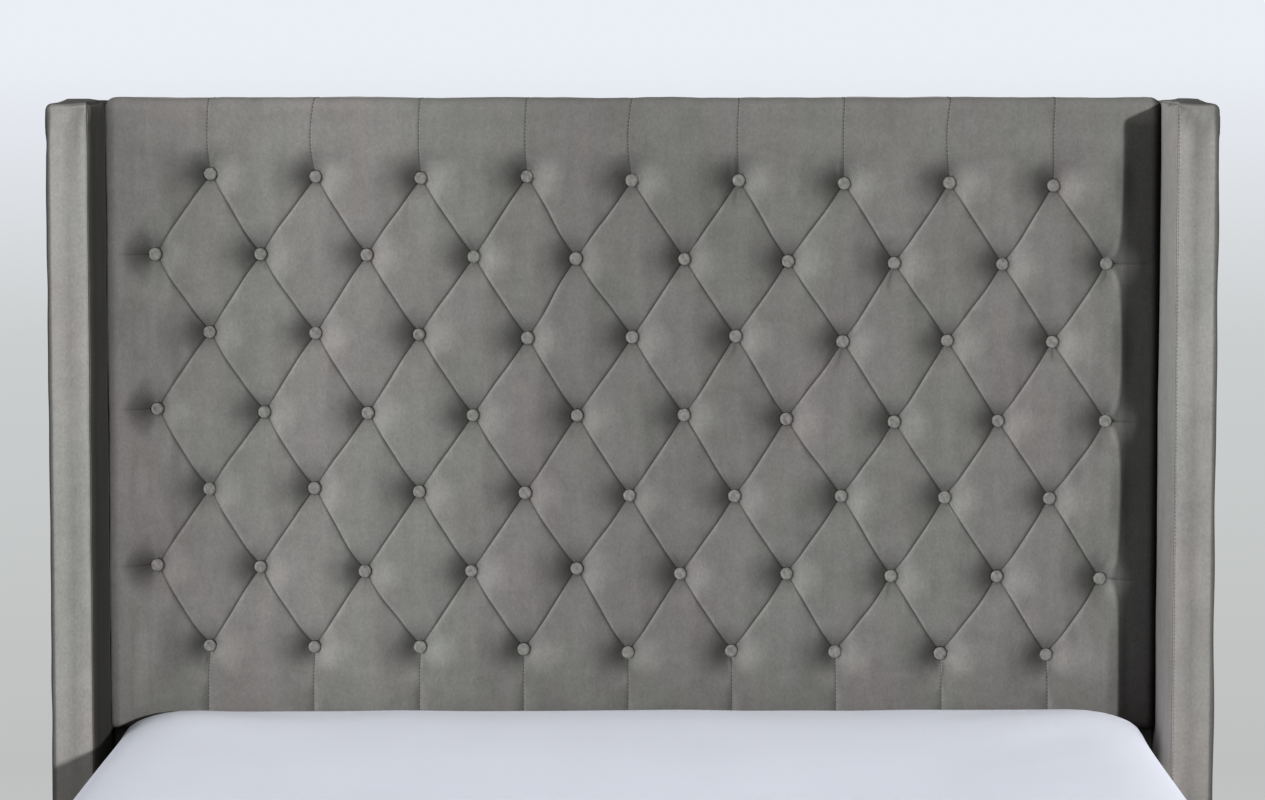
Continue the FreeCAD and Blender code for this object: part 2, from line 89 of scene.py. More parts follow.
# ---- cloth simulation ----
SIM_STEPS = 10  # simulated cells to each half pitch and each row of buttons
PANEL_PRESSURE = 30.0
PANEL_CAP = 0.014
STIFFNESS = 25  # against stretching and squashing
SHEAR = 12
BENDING = 2.0
QUALITY = 6
FRAMES = 20

# ---- pads: pressure under the velvet, and how far it may swell ----
WING_PUFF = (12.0, 0.0030)
LOWER_PANEL_PUFF = (8.0, 0.0040)
RAIL_PUFF = (10.0, 0.0035)
SHEET_PUFF = (3.0, 0.0050)
WING_SEAM = 0.0018  # from a wing's inner face
WING_CORNER = 0.009  # how round a wing's outer top corner is, seen from the front
WING_EDGE = 0.005  # how round its upright edges are
RAIL_RADIUS = 0.010
BACK_RADIUS = 0.003  # edges that lie against timber
FOOT_RADIUS = 0.005
FOOTBOARD_SEAM = 0.012  # from each end

# ---- mattress and sheet ----
MATTRESS_RADII = (0.115, 0.036, 0.044)
TICKING_INSET = 0.002
SHEET_TUCK = 0.160
SHEET_THICKNESS = 0.0012
SHEET_WHITE = (0.585, 0.611, 0.700)

# ---- threads: length, radius, gap ----
TUFTING_THREAD = (0.0030, 0.00065, 0.0027)
TUFTING_RAISE = 0.0006
WING_THREAD = (0.0030, 0.0004, 0.0026)
STAPLE = (0.011, 0.0007, 0.034)
STAPLE_INSET = 0.012
STAPLE_RAISE = 0.0008
STRAP_WIDTH = 0.030
STRAP_THICKNESS = 0.0010


def span(node):
    """The low and high corners of a CAD node."""
    low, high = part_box(node)
    return np.array(low), np.array(high)


def smoothstep(t):
    t = np.clip(t, 0.0, 1.0)
    return t * t * (3 - 2 * t)


def bell(distance, width):
    """1 where the distance is 0, and nearly 0 past twice the width."""
    return np.exp(-((distance / width) ** 2))


def unit(vectors):
    return vectors / np.maximum(np.linalg.norm(vectors, axis=1, keepdims=True), TINY)


def capped(shift, cap):
    """Shortens the vectors that are longer than cap."""
    size = np.linalg.norm(shift, axis=1, keepdims=True)
    return shift * np.minimum(1, cap / np.maximum(size, TINY))


# ------------------------------------------------------------------ meshes
def smooth_mesh(name, points, faces):
    """A smooth-shaded object from points and faces."""
    mesh = bpy.data.meshes.new(name)
    mesh.from_pydata([tuple(p) for p in points], [], [tuple(f) for f in faces])
    mesh.validate()
    mesh.shade_smooth()
    piece = bpy.data.objects.new(name, mesh)
    bpy.context.scene.collection.objects.link(piece)
    return piece


def apply_modifiers(piece):
    """Replaces the piece's mesh by its evaluated one and clears its modifiers."""
    graph = bpy.context.evaluated_depsgraph_get()
    mesh = bpy.data.meshes.new_from_object(piece.evaluated_get(graph))
    piece.modifiers.clear()
    old = piece.data
    piece.data = mesh
    bpy.data.meshes.remove(old)


def thicken(piece, thickness, **settings):
    solid = piece.modifiers.new("thickness", "SOLIDIFY")
    solid.thickness = thickness
    for key, value in settings.items():
        setattr(solid, key, value)
    apply_modifiers(piece)


def paint(piece, tone):
    """Stores one number per vertex, which the velvet reads as the brightness of its pile: painted
    light and shade, which also stands for the pile's lean.
    """
    layer = piece.data.attributes.new("nap_and_painted_light", "FLOAT", "POINT")
    layer.data.foreach_set("value", np.asarray(tone, dtype=np.float32))


def vertices(piece, name="co"):
    """The vertices' coordinates, or their normals, as rows."""
    values = np.empty(len(piece.data.vertices) * 3)
    piece.data.vertices.foreach_get(name, values)
    return values.reshape(-1, 3)


def grid(xs, ys):
    """Coordinates of a grid's points, row after row, and its squares."""
    grid_x, grid_y = np.meshgrid(xs, ys)
    columns = len(xs)
    starts = np.arange(len(ys) - 1)[:, None] * columns + np.arange(columns - 1)
    squares = starts.reshape(-1, 1) + (0, 1, columns + 1, columns)
    return grid_x.ravel(), grid_y.ravel(), squares.tolist()


def joined(parts):
    """One list of points and faces from several."""
    points, faces = [], []
    for some_points, some_faces in parts:
        offset = sum(len(p) for p in points)
        points.append(some_points)
        faces += [tuple(i + offset for i in face) for face in some_faces]
    return np.concatenate(points), faces


def spun_faces(rings, sides):
    """Faces of a first point, some rings of points round an axis, and a last point."""
    faces = []
    last = 1 + rings * sides
    for side in range(sides):
        after = (side + 1) % sides
        faces.append((0, 1 + after, 1 + side))
        for start in range(1, last - sides, sides):
            end = start + sides
            faces.append((start + side, start + after, end + after, end + side))
        faces.append((last - sides + side, last - sides + after, last))
    return faces


def turned(faces):
    """The same faces, seen from their other side."""
    return [(face[0], *face[:0:-1]) for face in faces]


class Ripples:
    """Smooth repeatable noise: a sum of plane waves with seeded directions and phases."""

    def __init__(self, seed, wavelength, count=24):
        draw = np.random.default_rng(seed)
        directions = draw.normal(size=(count, 3))
        directions /= np.linalg.norm(directions, axis=1, keepdims=True)
        lengths = wavelength * draw.uniform(0.6, 1.7, count)
        self.waves = directions * (2 * math.pi / lengths)[:, None]
        self.phases = draw.uniform(0, 2 * math.pi, count)

    def at(self, points):
        return np.cos(points @ self.waves.T + self.phases).sum(1) / math.sqrt(len(self.phases))


def run_cloth(sheet, held, pressure):
    """Runs a cloth with its held points pinned, and returns its points; the mesh goes."""
    pins = sheet.vertex_groups.new(name="held")
    pins.add([int(i) for i in np.nonzero(held)[0]], 1.0, "ADD")
    cloth = sheet.modifiers.new("cloth", "CLOTH")
    settings = cloth.settings
    settings.vertex_group_mass = "held"
    settings.use_pressure = True
    settings.uniform_pressure_force = pressure
    settings.effector_weights.gravity = 0.0
    settings.tension_stiffness = STIFFNESS
    settings.compression_stiffness = STIFFNESS
    settings.shear_stiffness = SHEAR
    settings.bending_stiffness = BENDING
    settings.quality = QUALITY
    cloth.point_cache.frame_start = 1
    cloth.point_cache.frame_end = FRAMES
    for frame_number in range(1, FRAMES + 1):
        bpy.context.scene.frame_set(frame_number)
    apply_modifiers(sheet)
    points = vertices(sheet)
    bpy.context.scene.frame_set(1)
    mesh = sheet.data
    bpy.data.objects.remove(sheet)
    bpy.data.meshes.remove(mesh)
    return points


# ------------------------------------------------------------------ materials
class Nodes:
    """A short way to build one material's node tree."""

    def __init__(self, name):
        self.material = bpy.data.materials.new(name)
        self.material.use_nodes = True
        self.tree = self.material.node_tree
        self.shader = self.tree.nodes["Principled BSDF"]
        self.place = self.tree.nodes.new("ShaderNodeTexCoord").outputs["Object"]

    def add(self, kind, inputs, **settings):
        node = self.tree.nodes.new(kind)
        for key, value in settings.items():
            setattr(node, key, value)
        for key, value in inputs.items():
            self.put(value, node.inputs[key])
        return node

    def put(self, value, socket):
        if isinstance(value, bpy.types.NodeSocket):
            self.tree.links.new(value, socket)
        else:
            socket.default_value = value

    def math(self, operation, a, b=0.0, c=0.0):
        return self.add("ShaderNodeMath", {0: a, 1: b, 2: c}, operation=operation).outputs[0]

    def varied(self, value, spread, base):
        return self.math("MULTIPLY_ADD", value, spread, base)

    def blend(self, a, share_a, b, share_b):
        a, b = self.math("MULTIPLY", a, share_a), self.math("MULTIPLY", b, share_b)
        return self.math("ADD", a, b)

    def stretched(self, stretch):
        return self.add("ShaderNodeMapping", {"Vector": self.place, "Scale": stretch}).outputs[0]

    def noise(self, scale, detail=3.0, rough=0.5, stretch=(1, 1, 1), distortion=0.0):
        inputs = {"Scale": scale, "Detail": detail, "Roughness": rough, "Distortion": distortion}
        inputs["Vector"] = self.stretched(stretch)
        return self.add("ShaderNodeTexNoise", inputs).outputs["Fac"]

    def wave(self, scale, direction, distortion=0.0, stretch=(1, 1, 1)):
        inputs = {"Vector": self.stretched(stretch), "Scale": scale, "Distortion": distortion}
        node = self.add("ShaderNodeTexWave", inputs, bands_direction=direction)
        return node.outputs["Fac"]

    def ramp(self, factor, stops):
        node = self.add("ShaderNodeValToRGB", {"Fac": factor})
        fill_ramp(node.color_ramp, stops)
        return node.outputs["Color"]

    def multiplied(self, a, b):
        node = self.add("ShaderNodeMix", {0: 1.0}, data_type="RGBA", blend_type="MULTIPLY")
        for value, socket in ((a, node.inputs[6]), (b, node.inputs[7])):
            self.put(value if isinstance(value, bpy.types.NodeSocket) else (*value, 1), socket)
        return node.outputs[2]

    def scaled(self, colour, factor):
        """The colour times a number that varies over the surface."""
        grey = self.add("ShaderNodeCombineColor", {0: factor, 1: factor, 2: factor})
        return self.multiplied(colour, grey.outputs[0])

    def bump(self, height, strength, distance):
        inputs = {"Height": height, "Strength": strength, "Distance": distance}
        self.put(self.add("ShaderNodeBump", inputs).outputs[0], self.shader.inputs["Normal"])

    def set(self, **values):
        for key, value in values.items():
            self.put(value, self.shader.inputs[key.replace("_", " ")])
        return self.material


def fill_ramp(ramp, stops):
    while len(ramp.elements) < len(stops):
        ramp.elements.new(0.5)
    for element, (place, colour) in zip(ramp.elements, stops):
        element.position = place
        element.color = (*colour, 1)


VELVET_TONES = (
    (0.28, (0.070, 0.0685, 0.0655)),
    (0.50, (0.088, 0.0865, 0.0830)),
    (0.72, (0.107, 0.1045, 0.1010)),
)
VELVET_TINTS = (
    (0.34, (0.970, 1.005, 0.980)),
    (0.45, (0.995, 1.000, 0.990)),
    (0.54, (1.005, 0.995, 0.995)),
    (0.66, (1.030, 0.980, 0.995)),
)
# Share of the tone, and the noise's scale, detail, roughness, stretch and distortion
VELVET_PATTERNS = (
    (0.36, (8.0, 4.0, 0.55, (1.6, 1.6, 0.7), 0.6)),  # brushed patches
    (0.20, (55.0, 3.0, 0.6, (1.4, 1.4, 0.22), 0.3)),  # streaks
    (0.26, (70.0, 4.0, 0.62, (1, 1, 0.8), 0.4)),  # mottling
    (0.18, (26.0, 3.0, 0.55, (0.5, 0.5, 1.6), 0.5)),  # rubbed bands
)


def velvet(name, pile_scale=1.0):
    """Grey velvet: a soft pile with patches laid different ways and tints, scaled by the painted
    light and shade stored on its vertices.
    """
    n = Nodes(name)
    brushed_and_darker_top = 0.0
    for share, pattern in VELVET_PATTERNS:
        brushed_and_darker_top = n.math("MULTIPLY_ADD", n.noise(*pattern), share, brushed_and_darker_top)
    tint = n.ramp(n.noise(4.5, 3.0, 0.55, (1.3, 1.3, 0.6)), VELVET_TINTS)
    colour = n.multiplied(n.ramp(brushed_and_darker_top, VELVET_TONES), tint)
    nap_and_painted_light = n.add("ShaderNodeAttribute", {}, attribute_name="nap_and_painted_light")
    colour = n.scaled(colour, nap_and_painted_light.outputs["Fac"])
    pile = n.noise(1100.0 * pile_scale, 2.0, 0.7)
    crush = n.noise(160.0, 3.0, 0.6, (1, 1, 0.5))
    fleck = n.varied(pile, 0.36, 0.82)
    tufts = n.varied(n.noise(300.0, 3.0, 0.65, (1, 1, 0.7)), 0.50, 0.75)
    colour = n.scaled(colour, n.math("MULTIPLY", fleck, tufts))
    n.bump(n.blend(pile, 0.45, crush, 0.55), 0.45, 0.0009)
    n.set(Base_Color=colour, Roughness=0.95, Specular_IOR_Level=0.03)
    return n.set(Sheen_Weight=0.02, Sheen_Roughness=0.4, Sheen_Tint=(0.85, 0.84, 0.80, 1))


def woven(name, colour, thread, contrast, bump):
    """A plain weave: crossing threads, with slight unevenness."""
    n = Nodes(name)
    across, along, up = [n.wave(thread, axis, distortion=0.4) for axis in "XYZ"]
    weave = n.math("MULTIPLY", n.math("ADD", n.math("ADD", across, along), up), 0.333)
    uneven = n.noise(40.0, 4.0, 0.6)
    tone, fine = [n.varied(value, contrast, 1 - contrast / 2) for value in (uneven, weave)]
    n.bump(n.blend(weave, 0.5, uneven, 0.5), bump, 0.0005)
    n.set(Base_Color=n.scaled(colour, n.math("MULTIPLY", tone, fine)), Roughness=0.9)
    return n.set(Specular_IOR_Level=0.2, Sheen_Weight=0.1, Sheen_Roughness=0.5)


def timber(name, light, dark, along="Y", ring=22.0, rough=0.6):
    """Sawn timber with its grain running along one axis."""
    n = Nodes(name)
    stretch = [0.06 if axis == along else 1 for axis in "XYZ"]
    grain = n.noise(ring * 6, 5.0, 0.6, stretch, 1.2)
    figure = n.noise(ring, 3.0, 0.5, stretch, 2.5)
    both = n.blend(grain, 0.5, figure, 0.5)
    colour = n.ramp(both, ((0.36, dark), (0.52, light), (0.70, tuple(1.12 * c for c in light))))
    pores = n.noise(900.0, 2.0, 0.6, stretch)
    n.bump(n.math("ADD", both, n.math("MULTIPLY", pores, 0.4)), 0.25, 0.0006)
    wear = n.varied(grain, 0.25, rough - 0.12)
    return n.set(Base_Color=colour, Roughness=wear, Specular_IOR_Level=0.35)


def metal(name, colour, rough, metallic):
    """Brushed or painted steel."""
    n = Nodes(name)
    scratches = n.noise(700.0, 2.0, 0.7, (1, 0.08, 1))
    n.bump(scratches, 0.15, 0.0003)
    n.set(Base_Color=n.scaled(colour, n.varied(n.noise(60.0, 4.0, 0.6), 0.25, 0.87)))
    return n.set(Metallic=metallic, Roughness=n.varied(scratches, 0.25, rough - 0.1))


def plastic(name, colour):
    n = Nodes(name)
    n.bump(n.noise(500.0, 3.0, 0.6), 0.15, 0.0004)
    return n.set(Base_Color=n.scaled(colour, n.varied(n.noise(30.0), 0.2, 0.9)), Roughness=0.5)


def foam(name):
    n = Nodes(name)
    cells = n.noise(600.0, 3.0, 0.7)
    n.bump(cells, 0.5, 0.0010)
    colour = n.ramp(cells, ((0.3, (0.55, 0.52, 0.38)), (0.6, (0.74, 0.71, 0.56))))
    return n.set(Base_Color=colour, Roughness=0.95, Specular_IOR_Level=0.1)


def cotton_sheet(name):
    """White percale with soft creases."""
    n = Nodes(name)
    across, along = [n.wave(1500.0, axis, distortion=0.3) for axis in "XY"]
    weave = n.math("MULTIPLY", n.math("ADD", across, along), 0.5)
    creases = n.noise(14.0, 5.0, 0.62, (1, 0.6, 1), 0.8)
    n.bump(n.math("ADD", n.math("MULTIPLY", weave, 0.06), creases), 0.30, 0.0035)
    n.set(Base_Color=n.scaled(SHEET_WHITE, n.varied(n.noise(3.0), 0.05, 0.975)), Roughness=0.85)
    return n.set(Specular_IOR_Level=0.25, Sheen_Weight=0.12, Sheen_Roughness=0.5)


def quilted_ticking(name):
    """Mattress ticking quilted in a diamond pattern."""
    n = Nodes(name)
    one, other = [n.wave(5.0, "DIAGONAL", stretch=(side, 1, 1)) for side in (1, -1)]
    quilt = n.math("POWER", n.math("MULTIPLY", one, other), 0.4)
    weave = n.noise(900.0, 2.0, 0.6)
    n.bump(n.math("ADD", quilt, n.math("MULTIPLY", weave, 0.08)), 0.5, 0.004)
    n.set(Base_Color=n.scaled((0.72, 0.70, 0.66), n.varied(weave, 0.15, 0.9)), Roughness=0.9)
    return n.set(Sheen_Weight=0.1, Sheen_Roughness=0.5)


PINE = ((0.60, 0.42, 0.25), (0.42, 0.27, 0.14))  # light and dark
BIRCH = ((0.66, 0.50, 0.32), (0.50, 0.35, 0.20))
WALNUT = ((0.055, 0.030, 0.017), (0.022, 0.012, 0.007))
BLACK = (0.02, 0.02, 0.022)


def make_materials():
    recipes = {
        "velvet": (velvet,),
        "button_velvet": (velvet, 1.3),
        "foam": (foam,),
        "back_cloth": (woven, (0.022, 0.022, 0.024), 700.0, 0.3, 0.4),
        "sheet_cotton": (cotton_sheet,),
        "ticking": (quilted_ticking,),
        "webbing": (woven, (0.05, 0.05, 0.055), 450.0, 0.3, 0.6),
        "twine": (woven, (0.55, 0.48, 0.36), 1500.0, 0.3, 0.5),
        "felt": (woven, (0.10, 0.085, 0.07), 300.0, 0.3, 0.5),
        "timber_x": (timber, *PINE, "X"),
        "timber_y": (timber, *PINE, "Y"),
        "timber_z": (timber, *PINE, "Z"),
        "plywood": (timber, *BIRCH, "X", 14.0),
        "slat_wood": (timber, *BIRCH, "X", 26.0),
        "leg_wood": (timber, *WALNUT, "Z", 22.0, 0.45),
        "thread": (woven, (0.018, 0.017, 0.016), 2500.0, 0.2, 0.2),
        # a paler copy of the thread: painted light on the left wing's stitches
        "light_thread": (woven, (0.16, 0.155, 0.145), 2500.0, 0.2, 0.2),
        "nylon": (plastic, BLACK),
        "black_steel": (metal, BLACK, 0.45, 0.0),
        "zinc_steel": (metal, (0.55, 0.56, 0.58), 0.35, 1.0),
    }
    return {name: make(name, *values) for name, (make, *values) in recipes.items()}


MATERIALS = make_materials()


def dress(piece, slot, body, *nodes, material=None):
    """Gives a piece its material, slot and body, and lets it stand for CAD nodes."""
    piece.data.materials.clear()
    piece.data.materials.append(MATERIALS[material or slot])
    if nodes:
        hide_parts(*nodes)
    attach(piece, body)


def dress_frame():
    """Every CAD node gets its slot's material. Timber's grain runs along the node."""
    for entry in frame["record"]["subparts"]:
        node = frame["nodes"][entry["node"]]
        slot = entry["material_slot"]
        if slot == "timber":
            low, high = span(entry["node"])
            slot = "timber_" + "xyz"[int(np.argmax(high - low))]
        for place in node.material_slots:
            place.material = MATERIALS[slot]


# ------------------------------------------------------------------ tufted panel
class Lattice:
    """The headboard's buttons, from the boxes of the CAD rows.

    u counts half button pitches from the middle and v counts rows upwards from the first
    row, so a button stands wherever u + v is even. The buttons fill |u| <= 9 and
    -6 <= v <= 0. Past them u runs on to 10 at a side border, and v to 1 or -7.
    """

    def __init__(self):
        boxes = [span("button_row_" + str(row)) for row in range(1, ROWS + 1)]
        widths = [high[0] - low[0] for low, high in boxes]
        middles = [(low + high) / 2 for low, high in boxes]
        pitch = widths[1] - widths[0]
        reach = (ODD_ROW_BUTTONS - 1) * pitch
        self.half_pitch = pitch / 2
        self.radius = (widths[0] - reach) / 2
        self.slope = (boxes[0][1][2] - boxes[0][0][2] - 2 * self.radius) / reach
        self.top_row = middles[0][2]
        self.row_pitch = (middles[0][2] - middles[-1][2]) / (ROWS - 1)
        self.lean = (middles[0][0] - middles[-1][0]) / (ROWS - 1)
        diagonal = math.hypot(self.half_pitch, self.row_pitch)
        self.across = 2 * self.half_pitch * self.row_pitch / diagonal
        self.buttons = [
            (u, -row)
            for row in range(ROWS)
            for u in range(-LAST_COLUMN, LAST_COLUMN + 1)
            if (u + row) % 2 == 0
        ]
        self.nudges = np.random.default_rng(7).normal(0, BUTTON_NUDGE, (len(self.buttons), 2))

    def flat(self, u, v):
        """The place on the front plane of a lattice point among the buttons."""
        x = u * self.half_pitch + v * self.lean
        z = self.top_row + v * self.row_pitch - u * self.half_pitch * self.slope
        moved_x, moved_z, weight = 0, 0, NUDGE_CALM
        for (bu, bv), (nudge_x, nudge_z) in zip(self.buttons, self.nudges):
            gap = ((u - bu) * self.half_pitch) ** 2 + ((v - bv) * self.row_pitch) ** 2
            near = np.exp(-gap / NUDGE_REACH**2)
            moved_x = moved_x + near * nudge_x
            moved_z = moved_z + near * nudge_z
            weight = weight + near
        return x + moved_x / weight, z + moved_z / weight


LATTICE = Lattice()


def past_buttons(u, v):
    """The nearest lattice point among the buttons, and how far past it u and v are."""
    inner_u = np.clip(u, -LAST_COLUMN, LAST_COLUMN)
    inner_v = np.clip(v, 1 - ROWS, 0)
    return inner_u, inner_v, np.abs(u - inner_u), np.abs(v - inner_v)


def roll(past, radius, run=0.0, back_radius=0.0):
    """Rolls cloth that lies past an edge: how far it still goes on, how far back, and its turn."""
    turn = np.clip(past / radius, 0, QUARTER)
    step = radius * np.sin(turn)
    straight = np.maximum(past - radius * QUARTER, 0)
    if back_radius == 0:
        return step, radius * (1 - np.cos(turn)) + straight, turn
    again = np.clip((straight - run) / back_radius, 0, QUARTER)
    rest = np.maximum(straight - run - back_radius * QUARTER, 0)
    sink = radius * (1 - np.cos(turn)) + np.minimum(straight, run) + back_radius * np.sin(again)
    return step - back_radius * (1 - np.cos(again)) - rest, sink, turn + again


FAN_RUN = 0.03  # above the rolled corner, the cloth's fan opens over this length
BORDER_WIDENING = 0.3


class Cover:
    """The tufted cover as one cloth: its flat coordinates, and how they roll round its edges."""

    def __init__(self):
        low, high = span("tufted_cover")
        self.front = low[1]
        self.side = high[0] - PAD_CLEAR
        self.top = high[2]
        self.bottom = low[2]
        self.top_run = high[1] + BACK_CLEAR - low[1] - TOP_ROLL - BACK_ROLL
        self.half = self.side + SIDE_ROLL * (QUARTER - 1) + SIDE_SKIRT
        over = self.top_run + BACK_ROLL * QUARTER + BACK_TAIL
        self.upper = self.top + TOP_ROLL * (QUARTER - 1) + over
        self.lower = self.bottom - SIDE_ROLL * (QUARTER - 1) - SIDE_SKIRT

    def spots(self, u, v):
        """Flat coordinates of lattice points, out to the cloth's borders."""
        inner_u, inner_v, beside, beyond = past_buttons(u, v)
        x, z = LATTICE.flat(inner_u, inner_v)
        border = np.where(v > 0, self.upper, self.lower)
        x = x * (1 - beside) + np.sign(u) * self.half * beside
        z = z * (1 - beyond) + border * beyond
        over = np.where(v > 0, (z - LATTICE.top_row) / (self.top - LATTICE.top_row), 0)
        bow = np.sin(np.pi * np.clip(over, 0, 1)) * (1 - beside)
        return x - SEAM_BOW * bow * (0.6 + 0.4 * np.cos(2.1 * inner_u)), z

    def rolled(self, x, z):
        """Points and outward normals of the cloth once it is rolled over its edges."""
        beside = np.abs(x) - self.side + CORNER
        above = z - self.top + CORNER
        level = np.maximum(np.maximum(beside, above), 0)
        lesser = np.maximum(np.minimum(beside, above), 0)
        reach = self.half - self.side + CORNER
        fan = QUARTER / 2 * lesser / np.maximum(np.minimum(level, reach), TINY)
        wider = fan * (1 + smoothstep((above - reach) / FAN_RUN))
        angle = np.where(above > beside, wider, QUARTER - fan)
        radius = TOP_ROLL + (SIDE_ROLL - TOP_ROLL) * angle / QUARTER
        step, sink, turn = roll(level - CORNER + radius, radius, self.top_run, BACK_ROLL)
        step = step + np.minimum(level, CORNER - radius)
        low_step, low_sink, low_turn = roll(self.bottom + SIDE_ROLL - z, SIDE_ROLL)
        flat_x = np.minimum(np.abs(x), self.side - CORNER)
        flat_z = np.clip(z, self.bottom + SIDE_ROLL, self.top - CORNER)
        points = np.stack([
            np.sign(x) * (flat_x + np.sin(angle) * step),
            self.front + sink + low_sink,
            flat_z + np.cos(angle) * step - low_step,
        ], 1)
        outward = np.stack([
            np.sign(x) * np.sin(angle) * np.sin(turn),
            -np.cos(turn) * np.cos(low_turn),
            np.cos(angle) * np.sin(turn) - np.sin(low_turn),
        ], 1)
        return points, unit(outward)

    def creases(self, u, v):
        """How far each lattice point is from a crease, and from a button, in metres."""
        inner_u, inner_v, beside, beyond = past_buttons(u, v)
        first, second = (inner_u + inner_v) / 2, (inner_u - inner_v) / 2
        steps = np.minimum(np.abs(first - np.round(first)), np.abs(second - np.round(second)))
        widening = smoothstep(np.maximum(beside, beyond) / BORDER_WIDENING)
        square = np.where(beside > beyond, 2 * LATTICE.row_pitch, 2 * LATTICE.half_pitch)
        away = steps * (LATTICE.across + (square - LATTICE.across) * widening)
        in_corner = 0.02 + 0.1 * np.minimum(beside, beyond)  # no crease runs into a corner
        away = np.where((beside > 0) & (beyond > 0), np.maximum(away, in_corner), away)
        x, z = self.spots(u, v)
        near = np.full(len(x), 1.0)
        for place in LATTICE.buttons:
            bx, bz = LATTICE.flat(*place)
            near = np.minimum(near, np.hypot(x - bx, z - bz))
        return away, near


def crease_strength(u, v):
    """1 where creases are sharp, less where they fade into the borders."""
    beside = np.clip(np.abs(u) - LAST_COLUMN, 0, 1)
    beyond = np.clip(np.maximum(v, 1 - ROWS - v), 0, 1)
    return (1 - smoothstep(beside / 0.75)) * (1 - 0.75 * smoothstep(beyond / 0.06))


def slack_sink(u, v, away, near):
    """Depth of the slack cloth before it swells."""
    hollow = np.clip(1 - (near - LATTICE.radius) / PULL_REACH, 0, 1) ** PULL_POWER
    ridge = 0.84 + 0.16 * np.exp(-away / 0.010)
    crease = np.exp(-away / CREASE_WIDTH) * crease_strength(u, v)
    beside = smoothstep((np.abs(u) - LAST_COLUMN) / 0.8)
    above = smoothstep((v - 0.02) / 0.25)
    below = smoothstep((1 - ROWS - v) / 0.8)
    slack = SLACK * (1 - beside) * (1 - above) * (1 - below)
    return slack + (BUTTON_SINK - slack) * hollow * ridge + CREASE_SINK * crease * (1 - hollow)


def simulated_swell(cover):
    """Swells a coarse copy of the cloth between its creases, and returns where it moved."""
    us = np.arange(-(LAST_COLUMN + 1) * SIM_STEPS, (LAST_COLUMN + 1) * SIM_STEPS + 1) / SIM_STEPS
    vs = np.arange(-ROWS * SIM_STEPS, SIM_STEPS + 1) / SIM_STEPS
    u, v, squares = grid(us, vs)
    away, near = cover.creases(u, v)
    start, outward = cover.rolled(*cover.spots(u, v))
    start = start - outward * slack_sink(u, v, away, near)[:, None]
    edge = 1e-6
    faces = []
    for a, b, c, d in squares:
        rising = (math.floor(u[a] + edge) + math.floor(v[a] + edge)) % 2 == 0
        faces += [(a, b, c), (a, c, d)] if rising else [(a, b, d), (b, c, d)]
    border = (np.abs(u) > LAST_COLUMN + 0.75) | (v > 0.25) | (v < -ROWS + 0.15)
    held = (away < 1e-5) & (crease_strength(u, v) > 0.2) | border | (near < 0.012)
    moved = run_cloth(smooth_mesh("swell", start, faces), held, PANEL_PRESSURE)
    shift = capped(moved - start, PANEL_CAP)
    shift *= 1 - smoothstep((np.abs(u) - LAST_COLUMN) / 0.45)[:, None]
    return shift.reshape(len(vs), len(us), 3)


def cubic(values, at_row, at_column):
    """Smooth interpolation in a grid of vectors, at fractional rows and columns."""
    rows, columns = values.shape[:2]
    row = np.clip(np.floor(at_row).astype(int), 0, rows - 2)
    column = np.clip(np.floor(at_column).astype(int), 0, columns - 2)

    def weights(t):
        t2, t3 = t * t, t * t * t
        return (
            (-t3 + 2 * t2 - t) / 2,
            (3 * t3 - 5 * t2 + 2) / 2,
            (-3 * t3 + 4 * t2 + t) / 2,
            (t3 - t2) / 2,
        )

    total = 0
    for i, weight_r in enumerate(weights(at_row - row)):
        r = np.clip(row + i - 1, 0, rows - 1)
        for k, weight_c in enumerate(weights(at_column - column)):
            c = np.clip(column + k - 1, 0, columns - 1)
            total = total + values[r, c] * (weight_r * weight_c)[:, None]
    return total


def cover_mesh(cover):
    """Lattice points and faces of the fine cloth, with edges along every crease."""
    half = np.array(CELLS) / SEAM_REACH / 2
    cell = np.concatenate([half, 1 - half[-2::-1]])[:-1]
    lines = np.concatenate([cell + k for k in range(-2 * ROWS, 2 * ROWS + 1)])
    lines = np.round(lines, 7)
    found, order, faces = {}, [], []
    key_steps, edge = 100000, 1e-6

    def point(u, v):
        key = (round(u * key_steps), round(v * key_steps))
        if key not in found:
            found[key] = len(order)
            order.append((u, v))
        return found[key]

    for i in range(len(lines) - 1):
        for k in range(len(lines) - 1):
            corners = []
            for a, b in ((i, k), (i + 1, k), (i + 1, k + 1), (i, k + 1)):
                u, v = lines[a] + lines[b], lines[a] - lines[b]
                if abs(u) < LAST_COLUMN + edge and 1 - ROWS - edge < v < edge:
                    corners.append((u, v))
            if len(corners) >= 3:
                faces.append([point(u, v) for u, v in reversed(corners)])
    inner_u = sorted(u / key_steps for u, v in found if v == 0)
    inner_v = sorted(v / key_steps for u, v in found if u == LAST_COLUMN * key_steps)
    beside = [LAST_COLUMN + t for t in np.linspace(0, 1, 25)[1:]]
    upper, lower = border_lines(cover)
    us = [-u for u in beside[::-1]] + inner_u + beside
    vs = lower + inner_v + upper
    first_u, last_u = len(beside), len(beside) + len(inner_u) - 1
    first_v, last_v = len(lower), len(lower) + len(inner_v) - 1
    for j in range(len(vs) - 1):
        for i in range(len(us) - 1):
            if first_u <= i < last_u and first_v <= j < last_v:
                continue
            around = ((i, j), (i + 1, j), (i + 1, j + 1), (i, j + 1))
            faces.append([point(us[a], vs[b]) for a, b in around])
    u, v = np.array(order).T
    return u, v, faces


